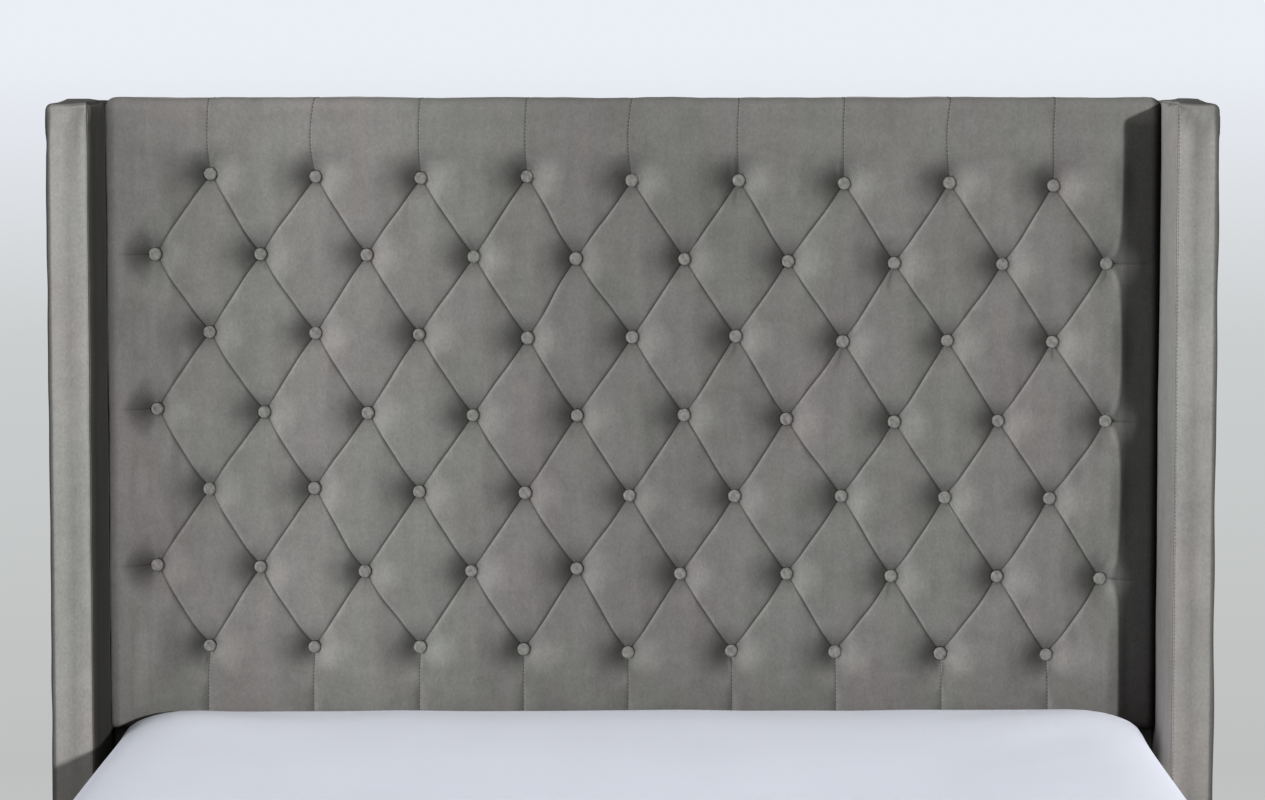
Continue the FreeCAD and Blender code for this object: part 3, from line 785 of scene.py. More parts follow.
def border_lines(cover):
    """v of the mesh lines above the first row and below the last."""
    run = cover.upper - LATTICE.top_row
    roll_start = cover.top - TOP_ROLL - LATTICE.top_row
    roll_end = roll_start + TOP_ROLL * QUARTER
    back = run - BACK_ROLL * QUARTER - BACK_TAIL
    stages = ((0, roll_start, 22), (roll_start, roll_end, 8), (roll_end, back, 9), (back, run, 6))
    upper = [np.linspace(low, high, count + 1)[1:] for low, high, count in stages]
    drop = LATTICE.top_row - (ROWS - 1) * LATTICE.row_pitch - cover.lower
    lower = np.linspace(0, drop, 34)[1:] / drop
    return list(np.concatenate(upper) / run), sorted(1 - ROWS - lower)


# Painted shade and painted light on the tufted pile: each SHADE share is taken off there, each
# LIGHT share is added
# painted shade along the creases
CREASE_SHADE, CREASE_LINE = 0.42, 0.0006
# painted shade in a ring round each button
RING_SHADE, RING_GAP, RING_LINE = 0.40, 0.0004, 0.0012  # round each button
# painted shade at the panel's sides, next to the wings
EDGE_SHADE, EDGE_START, EDGE_RUN = 0.50, 0.978, 0.016  # in shares of the half width
# painted shadow of the right wing, on the panel beside it
BAND_SHADE, BAND_START, BAND_RUN = 0.36, 0.928, 0.010  # beside the right wing
BAND_DROP, BAND_FADE = 0.025, 0.02  # from the top
# painted shade in the middle and painted light on the left part of the panel
MIDDLE_SHADE, LEFT_LIGHT, LEFT_PLACE, PATCH = 0.08, 0.22, -0.60, 0.30
# painted shade low on the panel
BOTTOM_SHADE, BOTTOM_HEIGHT, BOTTOM_FADE = 0.10, 0.13, 0.08
# painted light on cloth that faces up, over the top
TOP_LIGHT = 1.2


def panel_tone(cover, u, v, x, z, away, near, facing):
    """How bright the pile of the tufted panel is painted: painted light and shade by facing,
    painted shade in the creases, round the buttons, at the sides, beside the right wing, in the
    middle and low down, and painted light on the left and on cloth that faces up.
    """
    tone = nap_and_painted_light(facing)
    tone *= 1 - CREASE_SHADE * bell(away, CREASE_LINE) * crease_strength(u, v)
    tone *= 1 - RING_SHADE * bell(near - LATTICE.radius - RING_GAP, RING_LINE)
    side = x / cover.side
    tone *= 1 - EDGE_SHADE * smoothstep((np.abs(side) - EDGE_START) / EDGE_RUN)
    below_top = smoothstep((cover.top - BAND_DROP - z) / BAND_FADE)
    tone *= 1 - BAND_SHADE * smoothstep((side - BAND_START) / BAND_RUN) * below_top
    tone *= 1 + LEFT_LIGHT * bell(side - LEFT_PLACE, PATCH)
    tone *= 1 - MIDDLE_SHADE * bell(side, PATCH)
    tone *= 1 - BOTTOM_SHADE * smoothstep((cover.bottom + BOTTOM_HEIGHT - z) / BOTTOM_FADE)
    tone *= 1 + TOP_LIGHT * np.maximum(facing[:, 2], 0) * smoothstep((v - 0.5) / 0.2)
    return tone


def nap_and_painted_light(facing):
    """Painted light and shade from surface normals: cloth facing -X is painted lighter and cloth
    facing +X darker; this also stands for the pile, which lies towards -X.
    """
    lean = facing[:, 0]
    dark = np.exp(-1.85 * np.maximum(lean - 0.04, 0))
    bright = 1 + 2.0 * np.maximum(-lean - 0.12, 0)
    return dark * bright


def make_tufted_panel():
    cover = Cover()
    u, v, faces = cover_mesh(cover)
    x, z = cover.spots(u, v)
    start, outward = cover.rolled(x, z)
    away, near = cover.creases(u, v)
    points = start - outward * slack_sink(u, v, away, near)[:, None]
    if SIMULATE:
        shift = simulated_swell(cover)
        points += cubic(shift, (v + ROWS) * SIM_STEPS, (u + LAST_COLUMN + 1) * SIM_STEPS)
    fold = FOLD_SINK * np.exp(-away / FOLD_WIDTH) * crease_strength(u, v)
    uneven = 0.0007 * Ripples(3, 0.16).at(start) + 0.00020 * Ripples(4, 0.030).at(start)
    points -= outward * (fold + uneven - wrinkles(x, z))[:, None]
    panel = smooth_mesh("tufted_panel", points, faces)
    facing = vertices(panel, "normal")
    paint(panel, panel_tone(cover, u, v, start[:, 0], z, away, near, facing))
    dress(panel, "velvet", BODY, "tufted_cover", "tufted_foam")
    paths = []
    for column in range(1 - LAST_COLUMN, LAST_COLUMN, 2):
        above = (v > 0.01) & (v < 0.9)
        below = (v < 0.99 - ROWS) & (v > 0.1 - ROWS)
        for past in (above, below):
            on_seam = np.nonzero((np.abs(u - column) < 1e-6) & past)[0]
            on_seam = on_seam[np.argsort(v[on_seam])]
            paths.append(points[on_seam] + outward[on_seam] * TUFTING_RAISE)
    make_stitches("tufting_stitches", paths, "thread", TUFTING_THREAD)


def wrinkles(x, z):
    """Small folds that fan out from the buttons, outwards from the pad."""
    draw = np.random.default_rng(19)
    height = np.zeros(len(x))
    for place in LATTICE.buttons:
        bx, bz = LATTICE.flat(*place)
        near = np.nonzero((np.abs(x - bx) < 0.06) & (np.abs(z - bz) < 0.06))[0]
        gap = np.hypot(x[near] - bx, z[near] - bz)
        angle = np.arctan2(z[near] - bz, x[near] - bx)
        for _ in range(draw.integers(2, 7)):
            towards = draw.uniform(-math.pi, math.pi)
            reach = draw.uniform(0.010, 0.024)
            size = draw.uniform(0.0003, 0.0018)
            turn = (angle - towards + 12 * (gap - 0.02) * draw.normal() + math.pi) % (2 * math.pi)
            across = (turn - math.pi) * gap
            fade = smoothstep((gap - 0.011) / 0.005) * bell(gap - 0.016, reach)
            height[near] += size * fade * bell(across, 0.0019)
    return height


# ------------------------------------------------------------------ buttons
BUTTON_SIDES = 28
BUTTON_FRONT = 0.0056  # the middle of the face, in front of the pit
BUTTON_BACK = -0.0036
BUTTON_RINGS = (  # share of the radius, height in front of the pit
    (0.30, 0.0056),
    (0.55, 0.0057),
    (0.74, 0.0056),
    (0.87, 0.0049),
    (0.95, 0.0034),
    (0.99, 0.0014),
    (1.00, -0.0004),
    (0.95, -0.0020),
    (0.80, -0.0032),
)
PLEATED_RING = 4  # the rim is pleated from this ring on
PLEATS = 9


def button_shape(radius, draw):
    """Points and faces of one covered button that faces -Y, a little uneven."""
    tilt_x, tilt_z = draw.normal(0, 0.06, 2)
    size = radius * draw.uniform(0.97, 1.04)
    points = [(0.0, -BUTTON_FRONT, 0.0)]
    for ring, (share, height) in enumerate(BUTTON_RINGS):
        for side in range(BUTTON_SIDES):
            angle = 2 * math.pi * side / BUTTON_SIDES
            pleat = 1 + 0.02 * math.sin(PLEATS * angle) * (ring >= PLEATED_RING)
            px, pz = size * share * pleat * math.cos(angle), size * share * math.sin(angle)
            points.append((px, -height + tilt_x * px + tilt_z * pz, pz))
    points.append((0.0, -BUTTON_BACK, 0.0))
    return np.array(points), turned(spun_faces(len(BUTTON_RINGS), BUTTON_SIDES))


def make_buttons():
    draw = np.random.default_rng(11)
    front = span("tufted_cover")[0][1]
    for row in range(ROWS):
        parts = []
        for u, v in LATTICE.buttons:
            if v != -row:
                continue
            x, z = LATTICE.flat(u, v)
            points, faces = button_shape(LATTICE.radius, draw)
            seat = front + BUTTON_SINK + draw.normal(0, 0.0008)
            parts.append((points + (x, seat, z), faces))
        number = str(row + 1)
        piece = smooth_mesh("buttons_" + number, *joined(parts))
        facing = vertices(piece, "normal")
        # Painted shade on the buttons: the rim is painted darker, most on its upper right, over
        # painted light and shade by facing
        rim = smoothstep((0.80 + facing[:, 1]) / 0.45)
        rim_shade_side = 0.35 + 0.65 * smoothstep((facing[:, 0] + facing[:, 2] + 0.7) / 1.2)
        rubbed = 1.20 + 0.20 * Ripples(12, 0.006).at(vertices(piece))
        paint(piece, rubbed * nap_and_painted_light(facing) * (1 - 0.85 * rim * rim_shade_side))
        dress(piece, "button_velvet", BODY, "button_row_" + number)


# ------------------------------------------------------------------ stitches
SPINDLE_SIDES = 6


def spindle(start, middle, end, radius):
    """Points and faces of one short thread."""
    direction = end - start
    direction /= np.linalg.norm(direction)
    side = np.cross(direction, (0.31, 0.87, 0.38))  # any way but along a thread
    side /= np.linalg.norm(side)
    up = np.cross(direction, side)
    near, far = start * 0.6 + middle * 0.4, end * 0.6 + middle * 0.4
    points = [start]
    for centre, share in ((near, 0.8), (middle, 1), (far, 0.8)):
        for k in range(SPINDLE_SIDES):
            angle = 2 * math.pi * k / SPINDLE_SIDES
            points.append(centre + (side * math.cos(angle) + up * math.sin(angle)) * radius * share)
    return np.array(points + [end]), spun_faces(3, SPINDLE_SIDES)


def threads(path, length, radius, gap):
    """Short threads along a path of points."""
    path = np.asarray(path)
    steps = np.linalg.norm(np.diff(path, axis=0), axis=1)
    along = np.concatenate([[0], np.cumsum(steps)])
    parts = []
    for number in range(int(along[-1] / (length + gap))):
        begin = number * (length + gap)
        ends = [
            np.array([np.interp(begin + t * length, along, path[:, k]) for k in range(3)])
            for t in (0, 0.5, 1)
        ]
        parts.append(spindle(*ends, radius))
    return joined(parts)


def make_stitches(name, paths, material, thread):
    piece = smooth_mesh(name, *joined([threads(path, *thread) for path in paths]))
    dress(piece, "velvet", BODY, material=material)


# ------------------------------------------------------------------ rounded pads
EDGE_LINES = (0, 0.25, 0.5, 0.75, 1)  # mesh lines in shares of a rounded edge
SEAM_LINES = (-0.006, -0.003, -0.0014, 0, 0.0014, 0.003, 0.006)  # and distances from a seam
EXTRA_GAP, LEAST_GAP = 0.002, 0.0006  # between mesh lines
SLIM_DROP, SLIM_RUN = 0.05, 0.035  # where upright edges turn slim, below the top


def grid_lines(low, high, radii, step, seams=()):
    """Positions from low to high: close together at the rounded ends and at the seams."""
    fine = [low + radii[0] * t for t in EDGE_LINES] + [high - radii[1] * t for t in EDGE_LINES]
    fine = sorted(fine + [seam + t for seam in seams for t in SEAM_LINES])
    inside = np.linspace(low + radii[0], high - radii[1], max(2, round((high - low) / step)))
    extra = [p for p in inside if min(abs(p - q) for q in fine) > EXTRA_GAP]
    lines = [fine[0]]
    for place in sorted(fine + extra)[1:]:
        if place - lines[-1] > LEAST_GAP:
            lines.append(place)
    lines[-1] = high
    return np.array(lines)


def box_surface(*lines):
    """The surface grid of a box: points, and faces that point outwards."""
    found, order, faces = {}, [], []
    last = [len(line) - 1 for line in lines]

    def point(place):
        if place not in found:
            found[place] = len(order)
            order.append([line[i] for line, i in zip(lines, place)])
        return found[place]

    def add(axis, first, second):
        """The two squares at the ends of an axis, at these steps along the other two."""
        a, b = [k for k in range(3) if k != axis]
        for end in (0, last[axis]):
            square = []
            for da, db in ((0, 0), (1, 0), (1, 1), (0, 1)):
                place = [end] * 3
                place[a], place[b] = first + da, second + db
                square.append(point(tuple(place)))
            faces.append(square[::-1] if (end == 0) == (axis != 1) else square)

    for i in range(last[0]):
        for j in range(last[1]):
            add(2, i, j)
        for k in range(last[2]):
            add(1, i, k)
    for j in range(last[1]):
        for k in range(last[2]):
            add(0, j, k)
    return np.array(order), faces


def rounded_box(points, low, high, low_radii, high_radii):
    """Rounds a box surface; each side has its own radius. Returns points and normals."""
    inner = np.clip(points, low + low_radii, high - high_radii)
    radii = np.where(points < inner, low_radii, high_radii)
    away = unit((points - inner) / np.maximum(radii, TINY))
    return inner + away * radii, unit(away / np.maximum(radii, TINY))


def crown(points, low, high, amounts):
    """Swells the box's sides: amounts are for -X, +X, -Y, +Y, -Z, +Z."""
    share = np.clip((points - low) / (high - low), 0, 1) * 2 - 1
    room = 1 - share**4
    moved = points.copy()
    for axis in range(3):
        first, second = [a for a in range(3) if a != axis]
        swell = np.sqrt(np.clip(room[:, first] * room[:, second], 0, 1))
        side = share[:, axis]
        moved[:, axis] -= amounts[2 * axis] * swell * smoothstep((-side - 0.3) / 0.7)
        moved[:, axis] += amounts[2 * axis + 1] * swell * smoothstep((side - 0.3) / 0.7)
    return moved


def pad(low, high, low_radii, high_radii, step, seams=(), swell=(0,) * 6, slim=None):
    """A soft rounded box, with mesh lines along its seams, which are given by their x.

    slim is the x radius of its upright edges where only the top's corners have the full one.
    Returns its points, its faces, its normals, and its points before they were rounded.
    """
    ends = zip(low, high, zip(low_radii, high_radii), (seams, (), ()))
    lines = [grid_lines(first, last, radii, step, on_it) for first, last, radii, on_it in ends]
    square, faces = box_surface(*lines)
    radii = [np.tile(side_radii, (len(square), 1)) for side_radii in (low_radii, high_radii)]
    if slim is not None:
        below = 1 - smoothstep((square[:, 2] - high[2] + SLIM_DROP) / SLIM_RUN)
        for side_radii in radii:
            side_radii[:, 0] += (slim - side_radii[:, 0]) * below
    points, outward = rounded_box(square, low, high, *radii)
    return crown(points, low, high, swell), faces, outward, square


def puffed(points, faces, held, puff):
    """Lets a pad's cover swell as cloth between the places that hold it."""
    if not SIMULATE:
        return points
    pressure, cap = puff
    moved = run_cloth(smooth_mesh("puffed", points, faces), held, pressure)
    return points + capped(moved - points, cap)


def uneven(points, outward, seed, wavelength, height):
    """Waves the surface a little; height may differ from point to point."""
    return points + outward * (height * Ripples(seed, wavelength).at(points))[:, None]


def groove(points, outward, distance, depth, width):
    """Presses a seam into the pad where distance to it is small."""
    return points - outward * (depth * np.exp(-np.abs(distance) / width))[:, None]


def make_velvet_pad(name, points, faces, tone):
    """A padded piece over its CAD cover and foam; tone gives its painted light and shade from its
    normals.
    """
    piece = smooth_mesh(name, points, faces)
    paint(piece, tone(vertices(piece, "normal")))
    dress(piece, "velvet", BODY, name + "_cover", name + "_foam")


# ------------------------------------------------------------------ wings
PANEL_FRONT = span("tufted_cover")[0][1]
NEAR = 0.001  # points this close to a face or a seam lie on it
WING_STEP = 0.012
WING_GROOVE = (0.0014, 0.0012)  # depth and width


def make_wings():
    for side, name in ((1, "wing_right"), (-1, "wing_left")):
        low, high = span(name + "_cover")
        low[2] -= PAD_CLEAR
        corner = (low[0] if side > 0 else high[0]) + side * WING_SEAM
        low_x, high_x = (WING_EDGE, WING_CORNER)[::side]
        low_radii = (low_x, 0.008, BACK_RADIUS)
        high_radii = (high_x, BACK_RADIUS, WING_CORNER)
        swell = (0.001, 0.001, 0.001, 0, 0, 0.001)
        points, faces, outward, square = pad(
            low, high, low_radii, high_radii, WING_STEP, (corner,), swell, slim=WING_EDGE
        )
        x, y, z = square.T
        held = (y > PANEL_FRONT - 0.01) | (z < low[2] + 0.01)
        held |= (y < low[1] + NEAR) & (np.abs(x - corner) < NEAR)
        points = puffed(points, faces, held, WING_PUFF)
        calm = 0.0007 * smoothstep((high[1] - y) / 0.03)
        points = uneven(points, outward, 20 + side, 0.14, calm)
        front = (y < low[1] + 0.02) | (z > high[2] - 0.012)
        points = groove(points, outward, np.where(front, x - corner, 1.0), *WING_GROOVE)
        tone = lambda facing: wing_tone(facing, x, z, side, corner)
        make_velvet_pad(name, points, faces, tone)
        zs = np.linspace(low[2] + 0.01, high[2] - 0.012, 400)
        path = [(corner + side * 0.003, low[1] - 0.0012, height) for height in zs]
        # painted light: the left wing's stitches use a paler copy of the thread
        thread = "light_thread" if side < 0 else "thread"
        make_stitches(name + "_stitches", [path], thread, WING_THREAD)


# Painted light and shade by facing: the fronts painted lit, the right wing's inner face painted lit
# and the left one's painted dark
WING_TONES = {1: (4.2, 1.78), -1: (0.16, 1.82)}  # inside the bed and in front, right and left
# the tops and undersides painted darker, as painted shade
OUTSIDE_TONE, ABOVE_TONE, BEHIND_TONE, BELOW_TONE = 1.0, 0.5, 1.0, 0.8
LOW_WING, LOW_FADE = 1.15, 0.40  # the height under which a wing darkens
LOW_INSIDE, LOW_FRONT = 0.15, 0.09
# painted shade along each wing's seam and its outer front edge
SEAM_SHADE, SEAM_LINE = 0.65, 0.0012
WING_EDGE_SHADE = 0.5
# the right wing's front is painted darker towards its top
TOP_DARKENING, TOP_DARKENING_DROP, TOP_DARKENING_FADE = 0.20, 0.055, 0.035  # at the right wing's top


def wing_tone(facing, x, z, side, corner):
    """Painted light and shade on a wing by facing: the front painted lit, the right wing's inner
    face painted lit and the left one's painted dark, the top and underside painted darker, darker
    low down, with painted shade along the seam and the outer front edge, and darker towards the
    right wing's top at its front.
    """
    front, behind = np.clip(-facing[:, 1], 0, 1), np.clip(facing[:, 1], 0, 1)
    inside, outside = [np.clip(turn * side * facing[:, 0], 0, 1) for turn in (-1, 1)]
    above, below = np.clip(facing[:, 2], 0, 1), np.clip(-facing[:, 2], 0, 1)
    inner_tone, front_tone = WING_TONES[side]
    low = smoothstep((LOW_WING - z) / LOW_FADE)
    tone = front_tone * (1 - LOW_FRONT * low) * front**2
    tone += inner_tone * (1 - LOW_INSIDE * low) * inside**2
    tone += OUTSIDE_TONE * outside**2 + ABOVE_TONE * above**2
    tone += BEHIND_TONE * behind**2 + BELOW_TONE * below**2
    tone *= 1 - SEAM_SHADE * bell(x - corner, SEAM_LINE) * (front > 0.5)
    tone *= 1 - WING_EDGE_SHADE * np.clip(outside * front * 4, 0, 1)
    # darker towards the top of the right wing's front
    brushed_and_darker_top = smoothstep((z - z.max() + TOP_DARKENING_DROP) / TOP_DARKENING_FADE) * front * (side > 0)
    return tone * (1 - TOP_DARKENING * brushed_and_darker_top)


# ------------------------------------------------------------------ lower panel and rails
LOWER_PANEL_STEP, RAIL_STEP = 0.020, 0.018
# painted light: the lower panel, in shade behind the mattress, is painted brighter to lift its
# shade
LOWER_PANEL_PAINTED_LIGHT = 1.5
RAIL_WAVE = (0.22, 0.0008)  # length and height
FOOTBOARD_GROOVE = (0.0020, 0.0018)


def make_lower_panel():
    low, high = span("lower_panel_cover")
    low[0] += PAD_CLEAR
    high[0] -= PAD_CLEAR
    low_radii, high_radii = (0.006, 0.008, 0.006), (0.006, 0.001, 0.006)
    points, faces, outward, square = pad(
        low, high, low_radii, high_radii, LOWER_PANEL_STEP, swell=(0, 0, 0.001, 0, 0, 0)
    )
    x, y, z = square.T
    inside = (x > low[0] + 0.002) & (x < high[0] - 0.002)
    inside &= (z > low[2] + 0.002) & (z < high[2] - 0.002)
    held = ~(inside & (y < low[1] + NEAR))
    points = puffed(points, faces, held, LOWER_PANEL_PUFF)
    points = uneven(points, outward, 31, 0.20, 0.0005)
    tone = lambda facing: np.full(len(facing), LOWER_PANEL_PAINTED_LIGHT)
    make_velvet_pad("lower_panel", points, faces, tone)


def make_rails():
    for side, name in ((1, "side_rail_right"), (-1, "side_rail_left")):
        low, high = span(name + "_cover")
        inner = 0 if side > 0 else 1
        (low, high)[inner][0] += side * 0.001
        low[1] += 0.0006
        low_x, high_x = (BACK_RADIUS, RAIL_RADIUS)[::side]
        low_radii = (low_x, BACK_RADIUS, FOOT_RADIUS)
        high_radii = (high_x, BACK_RADIUS, RAIL_RADIUS)
        points, faces, outward, square = pad(
            low, high, low_radii, high_radii, RAIL_STEP, swell=(0, 0, 0, 0, 0, 0.001)
        )
        x, y, z = square.T
        held = (np.abs(x - (low, high)[inner][0]) < NEAR) | (z < low[2] + NEAR)
        held |= (y < low[1] + 0.002) | (y > high[1] - 0.002)
        points = puffed(points, faces, held, RAIL_PUFF)
        points = uneven(points, outward, 40 + side, *RAIL_WAVE)
        make_velvet_pad(name, points, faces, rail_tone)


# Painted light and shade on the rails and footboard: cloth facing up painted lighter, cloth facing
# down darker
def rail_tone(facing):
    return 1.15 + 0.25 * np.clip(facing[:, 2], 0, 1) - 0.25 * np.clip(-facing[:, 2], 0, 1)


def make_footboard():
    low, high = span("footboard_cover")
    high[1] -= 0.001
    seams = (low[0] + FOOTBOARD_SEAM, high[0] - FOOTBOARD_SEAM)
    low_radii = (RAIL_RADIUS, RAIL_RADIUS, FOOT_RADIUS)
    high_radii = (RAIL_RADIUS, BACK_RADIUS, RAIL_RADIUS)
    swell = (0.001, 0.001, 0.001, 0, 0, 0.001)
    points, faces, outward, square = pad(
        low, high, low_radii, high_radii, RAIL_STEP, seams, swell
    )
    x, y, z = square.T
    held = (y > high[1] - NEAR) | (z < low[2] + NEAR)
    for seam in seams:
        held |= np.abs(x - seam) < NEAR
    points = puffed(points, faces, held, RAIL_PUFF)
    points = uneven(points, outward, 44, *RAIL_WAVE)
    for seam in seams:
        to_seam = np.where(y < high[1] - 0.02, x - seam, 1.0)
        points = groove(points, outward, to_seam, *FOOTBOARD_GROOVE)
    make_velvet_pad("footboard", points, faces, rail_tone)


# ------------------------------------------------------------------ mattress and sheet
MATTRESS_STEP, SHEET_STEP = 0.030, 0.025
SHEET_HOLD = 0.05  # the sheet can't swell below this height over its hem
LONG_CREASES = (0.0016, 51, 0.55, (1.0, 0.55, 1.0))  # height, seed, wavelength, stretch
FINE_CREASES = (0.0005, 52, 0.16, (1.0, 0.5, 1.0))
SHEET_RISE = 0.004  # on the mattress's top


def mattress_box(node, step):
    low, high = span(node)
    return low, high, *pad(low, high, MATTRESS_RADII, MATTRESS_RADII, step)


def make_mattress():
    *_, points, faces, outward, _ = mattress_box("mattress", MATTRESS_STEP)
    piece = smooth_mesh("mattress_core", points - outward * TICKING_INSET, faces)
    dress(piece, "ticking", MATTRESS_BODY, "mattress")


def make_sheet():
    low, high, points, faces, outward, square = mattress_box("fitted_sheet", SHEET_STEP)
    x, y, z = square.T
    points = puffed(points, faces, z < low[2] + SHEET_HOLD, SHEET_PUFF)
    on_top = smoothstep((z - high[2] + 0.06) / 0.05)
    rise = sum(
        height * Ripples(seed, wavelength, 14).at(points * stretch)
        for height, seed, wavelength, stretch in (LONG_CREASES, FINE_CREASES)
    )
    rise = rise * (0.35 + 0.65 * on_top) + SHEET_RISE * on_top
    points = points + outward * rise[:, None]
    to_hem = np.minimum.reduce([x - low[0], high[0] - x, y - low[1], high[1] - y])
    gone = (z < low[2] + 1e-6) & (to_hem > SHEET_TUCK)
    faces = [face for face in faces if not any(gone[i] for i in face)]
    kept = sorted({i for face in faces for i in face})
    number = {old: new for new, old in enumerate(kept)}
    faces = [[number[i] for i in face] for face in faces]
    piece = smooth_mesh("fitted_sheet_cloth", points[kept], faces)
    thicken(piece, SHEET_THICKNESS, offset=-1)
    dress(piece, "sheet_cotton", MATTRESS_BODY, "fitted_sheet")


# ------------------------------------------------------------------ back cloth and webbing
BACK_CLOTH_LINES = (110, 100)
BACK_CLOTH_GAP, BACK_CLOTH_WAVE = 0.0003, 0.0006
STRAP_LINES = (7, 320)
STRAP_RIB, RIB_HEIGHT = 0.004, 0.0002


def make_back_cloth():
    low, high = span("back_cloth")
    across, up = BACK_CLOTH_LINES
    xs, zs = np.linspace(low[0], high[0], across), np.linspace(low[2], high[2], up)
    x, z, squares = grid(xs, zs)
    edge = np.minimum.reduce([x - low[0], high[0] - x, z - low[2], high[2] - z])
    flat = np.stack([x, np.zeros(len(x)), z], 1)
    ripple = Ripples(61, 0.30, 16).at(flat * (1, 1, 0.5))
    wave = BACK_CLOTH_WAVE * np.clip(ripple + 1, 0, 3) * smoothstep(edge / 0.15)
    points = np.stack([x, high[1] + BACK_CLOTH_GAP + wave, z], 1)
    piece = smooth_mesh("back_cloth_sheet", points, turned(squares))
    dress(piece, "back_cloth", BODY, "back_cloth")


def make_staples():
    """Wire staples that hold the back cloth along its edges."""
    low, high = span("back_cloth")
    (x0, _, z0), (x1, _, z1) = low + STAPLE_INSET, high - STAPLE_INSET
    y = high[1] + STAPLE_RAISE
    corners = [(x0, y, z0), (x1, y, z0), (x1, y, z1), (x0, y, z1), (x0, y, z0)]
    rows = [threads(row, *STAPLE) for row in zip(corners[:-1], corners[1:])]
    dress(smooth_mesh("back_staples", *joined(rows)), "zinc_steel", BODY)


def make_straps():
    low, high = span("slat_straps")
    across, along = STRAP_LINES
    for side, name in ((1, "right"), (-1, "left")):
        middle = side * (high[0] - STRAP_WIDTH / 2)
        xs = middle + np.linspace(-STRAP_WIDTH / 2, STRAP_WIDTH / 2, across)
        x, y, squares = grid(xs, np.linspace(low[1], high[1], along))
        rib = RIB_HEIGHT * np.cos((x - middle) * math.pi / STRAP_RIB)
        points = np.stack([x, y, np.full(len(x), low[2] + 0.0004) + rib], 1)
        piece = smooth_mesh("strap_" + name, points, squares)
        thicken(piece, STRAP_THICKNESS)
        dress(piece, "webbing", BODY, "slat_straps")


# ------------------------------------------------------------------ studio
PHOTO_LENS = 114.68
LENS_SHIFT = -0.0153
CAMERA_DISTANCE = 6.0
CAMERA_HEIGHT = 1.571
CAMERA_RIGHT = 0.040
CAMERA_PITCH, CAMERA_YAW = 4.38, 0.385  # degrees
AMBIENT = (0.53, 0.53, 0.52, 1)
WALL_SCALE, WALL_BASE = 2.0, 0.60
WALL = (  # the backdrop's colour, from steeply down to level
    (0.00, (0.74, 0.75, 0.765)),
    (0.16, (0.62, 0.63, 0.64)),
    (0.26, (0.52, 0.53, 0.53)),
    (0.47, (0.60, 0.62, 0.62)),
    (0.61, (0.83, 0.86, 0.925)),
)
LIGHTS = (  # name, energy, size, azimuth from the front towards +X, elevation; in degrees
    ("key", 5.3, 2.0, 21, 9),
    ("fill", 0.9, 50.0, -62, 14),
    ("overhead", 0.6, 60.0, -20, 78),
)
FLAG_Y = -4.0
FLAG_TOP = 1.265
FLAG_REACH = 8
FLOOR_RINGS, FLOOR_SPOKES, FLOOR_RADIUS = 24, 96, 3.2
FLOOR_GREY = (0.82, 0.83, 0.84)


def make_camera():
    data = bpy.data.cameras.new("camera")
    camera = bpy.data.objects.new("camera", data)
    bpy.context.scene.collection.objects.link(camera)
    data.sensor_width = 36.0
    data.lens = PHOTO_LENS
    data.shift_y = LENS_SHIFT
    data.clip_end = 100
    camera.location = (CAMERA_RIGHT, PANEL_FRONT - CAMERA_DISTANCE, CAMERA_HEIGHT)
    pitch, yaw = math.radians(CAMERA_PITCH), math.radians(CAMERA_YAW)
    camera.rotation_euler = (QUARTER - pitch, 0, yaw)
    bpy.context.scene.camera = camera


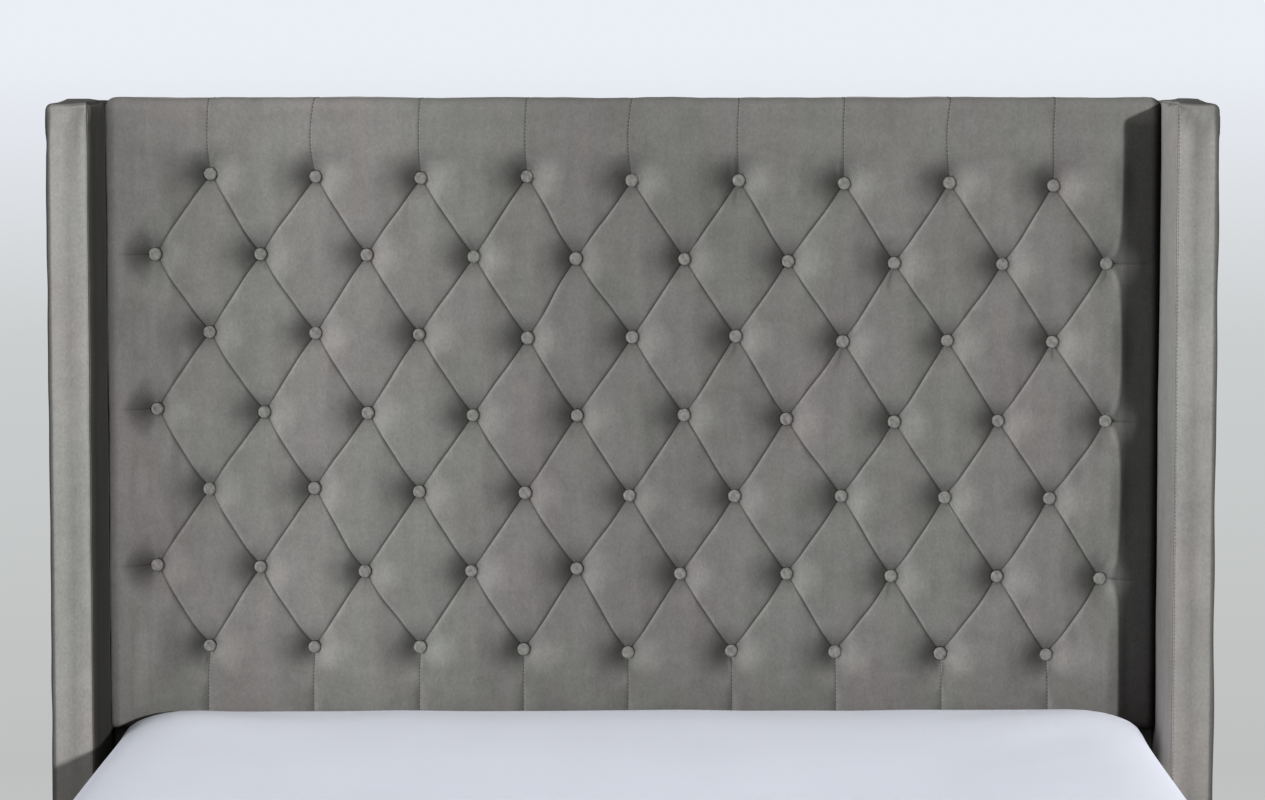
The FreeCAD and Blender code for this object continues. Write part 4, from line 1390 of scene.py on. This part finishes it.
def make_studio():
    """A backdrop that only the camera sees, an even ambient light, and three sun lamps."""
    world = bpy.data.worlds.new("studio")
    world.use_nodes = True
    tree = world.node_tree
    background = tree.nodes["Background"]
    background.inputs["Strength"].default_value = 1.0
    path, place, split, height, wall, mix = [
        tree.nodes.new("ShaderNode" + kind)
        for kind in ("LightPath", "TexCoord", "SeparateXYZ", "Math", "ValToRGB", "Mix")
    ]
    height.operation = "MULTIPLY_ADD"
    height.inputs[1].default_value, height.inputs[2].default_value = WALL_SCALE, WALL_BASE
    fill_ramp(wall.color_ramp, WALL)
    mix.data_type = "RGBA"
    mix.inputs[6].default_value = AMBIENT
    for output, socket in (
        (place.outputs["Generated"], split.inputs[0]),
        (split.outputs[2], height.inputs[0]),
        (height.outputs[0], wall.inputs[0]),
        (path.outputs["Is Camera Ray"], mix.inputs[0]),
        (wall.outputs[0], mix.inputs[7]),
        (mix.outputs[2], background.inputs["Color"]),
    ):
        tree.links.new(output, socket)
    bpy.context.scene.world = world
    bpy.context.scene.view_settings.view_transform = "Standard"
    for light in LIGHTS:
        distant_light(*light)


def distant_light(name, energy, size, azimuth, elevation):
    data = bpy.data.lights.new(name, "SUN")
    data.energy = energy
    data.angle = math.radians(size)
    azimuth, elevation = math.radians(azimuth), math.radians(elevation)
    flat = math.cos(elevation)
    towards = Vector((math.sin(azimuth) * flat, -math.cos(azimuth) * flat, math.sin(elevation)))
    light = bpy.data.objects.new(name, data)
    light.rotation_euler = towards.to_track_quat("Z", "Y").to_euler()
    bpy.context.scene.collection.objects.link(light)


def make_flag():
    """A studio flag: it keeps the low key light off the floor and the bed's lower half."""
    places = ((-FLAG_REACH, 0), (FLAG_REACH, 0), (FLAG_REACH, FLAG_TOP), (-FLAG_REACH, FLAG_TOP))
    flag = smooth_mesh("flag", [(x, FLAG_Y, z) for x, z in places], [(0, 1, 2, 3)])
    flag.data.materials.append(MATERIALS["black_steel"])
    flag.visible_camera = False
    flag.visible_diffuse = False
    flag.visible_glossy = False


def make_floor():
    """A round pale floor under the bed."""
    points = [(0.0, 0.0, 0.0)]
    for ring in range(1, FLOOR_RINGS + 1):
        for spoke in range(FLOOR_SPOKES):
            angle = 2 * math.pi * spoke / FLOOR_SPOKES
            reach = FLOOR_RADIUS * ring / FLOOR_RINGS
            points.append((reach * math.cos(angle), reach * math.sin(angle), 0.0))
    faces = [face for face in spun_faces(FLOOR_RINGS, FLOOR_SPOKES) if max(face) < len(points)]
    floor = smooth_mesh("floor", points, turned(faces))
    n = Nodes("floor_paint")
    tone = n.varied(n.noise(2.0), 0.03, 0.985)
    n.set(Base_Color=n.scaled(FLOOR_GREY, tone), Roughness=0.8)
    floor.data.materials.append(n.material)


dress_frame()
make_tufted_panel()
make_buttons()
make_wings()
make_lower_panel()
make_rails()
make_footboard()
make_mattress()
make_sheet()
make_back_cloth()
make_staples()
make_straps()
make_camera()
make_studio()
make_floor()
make_flag()
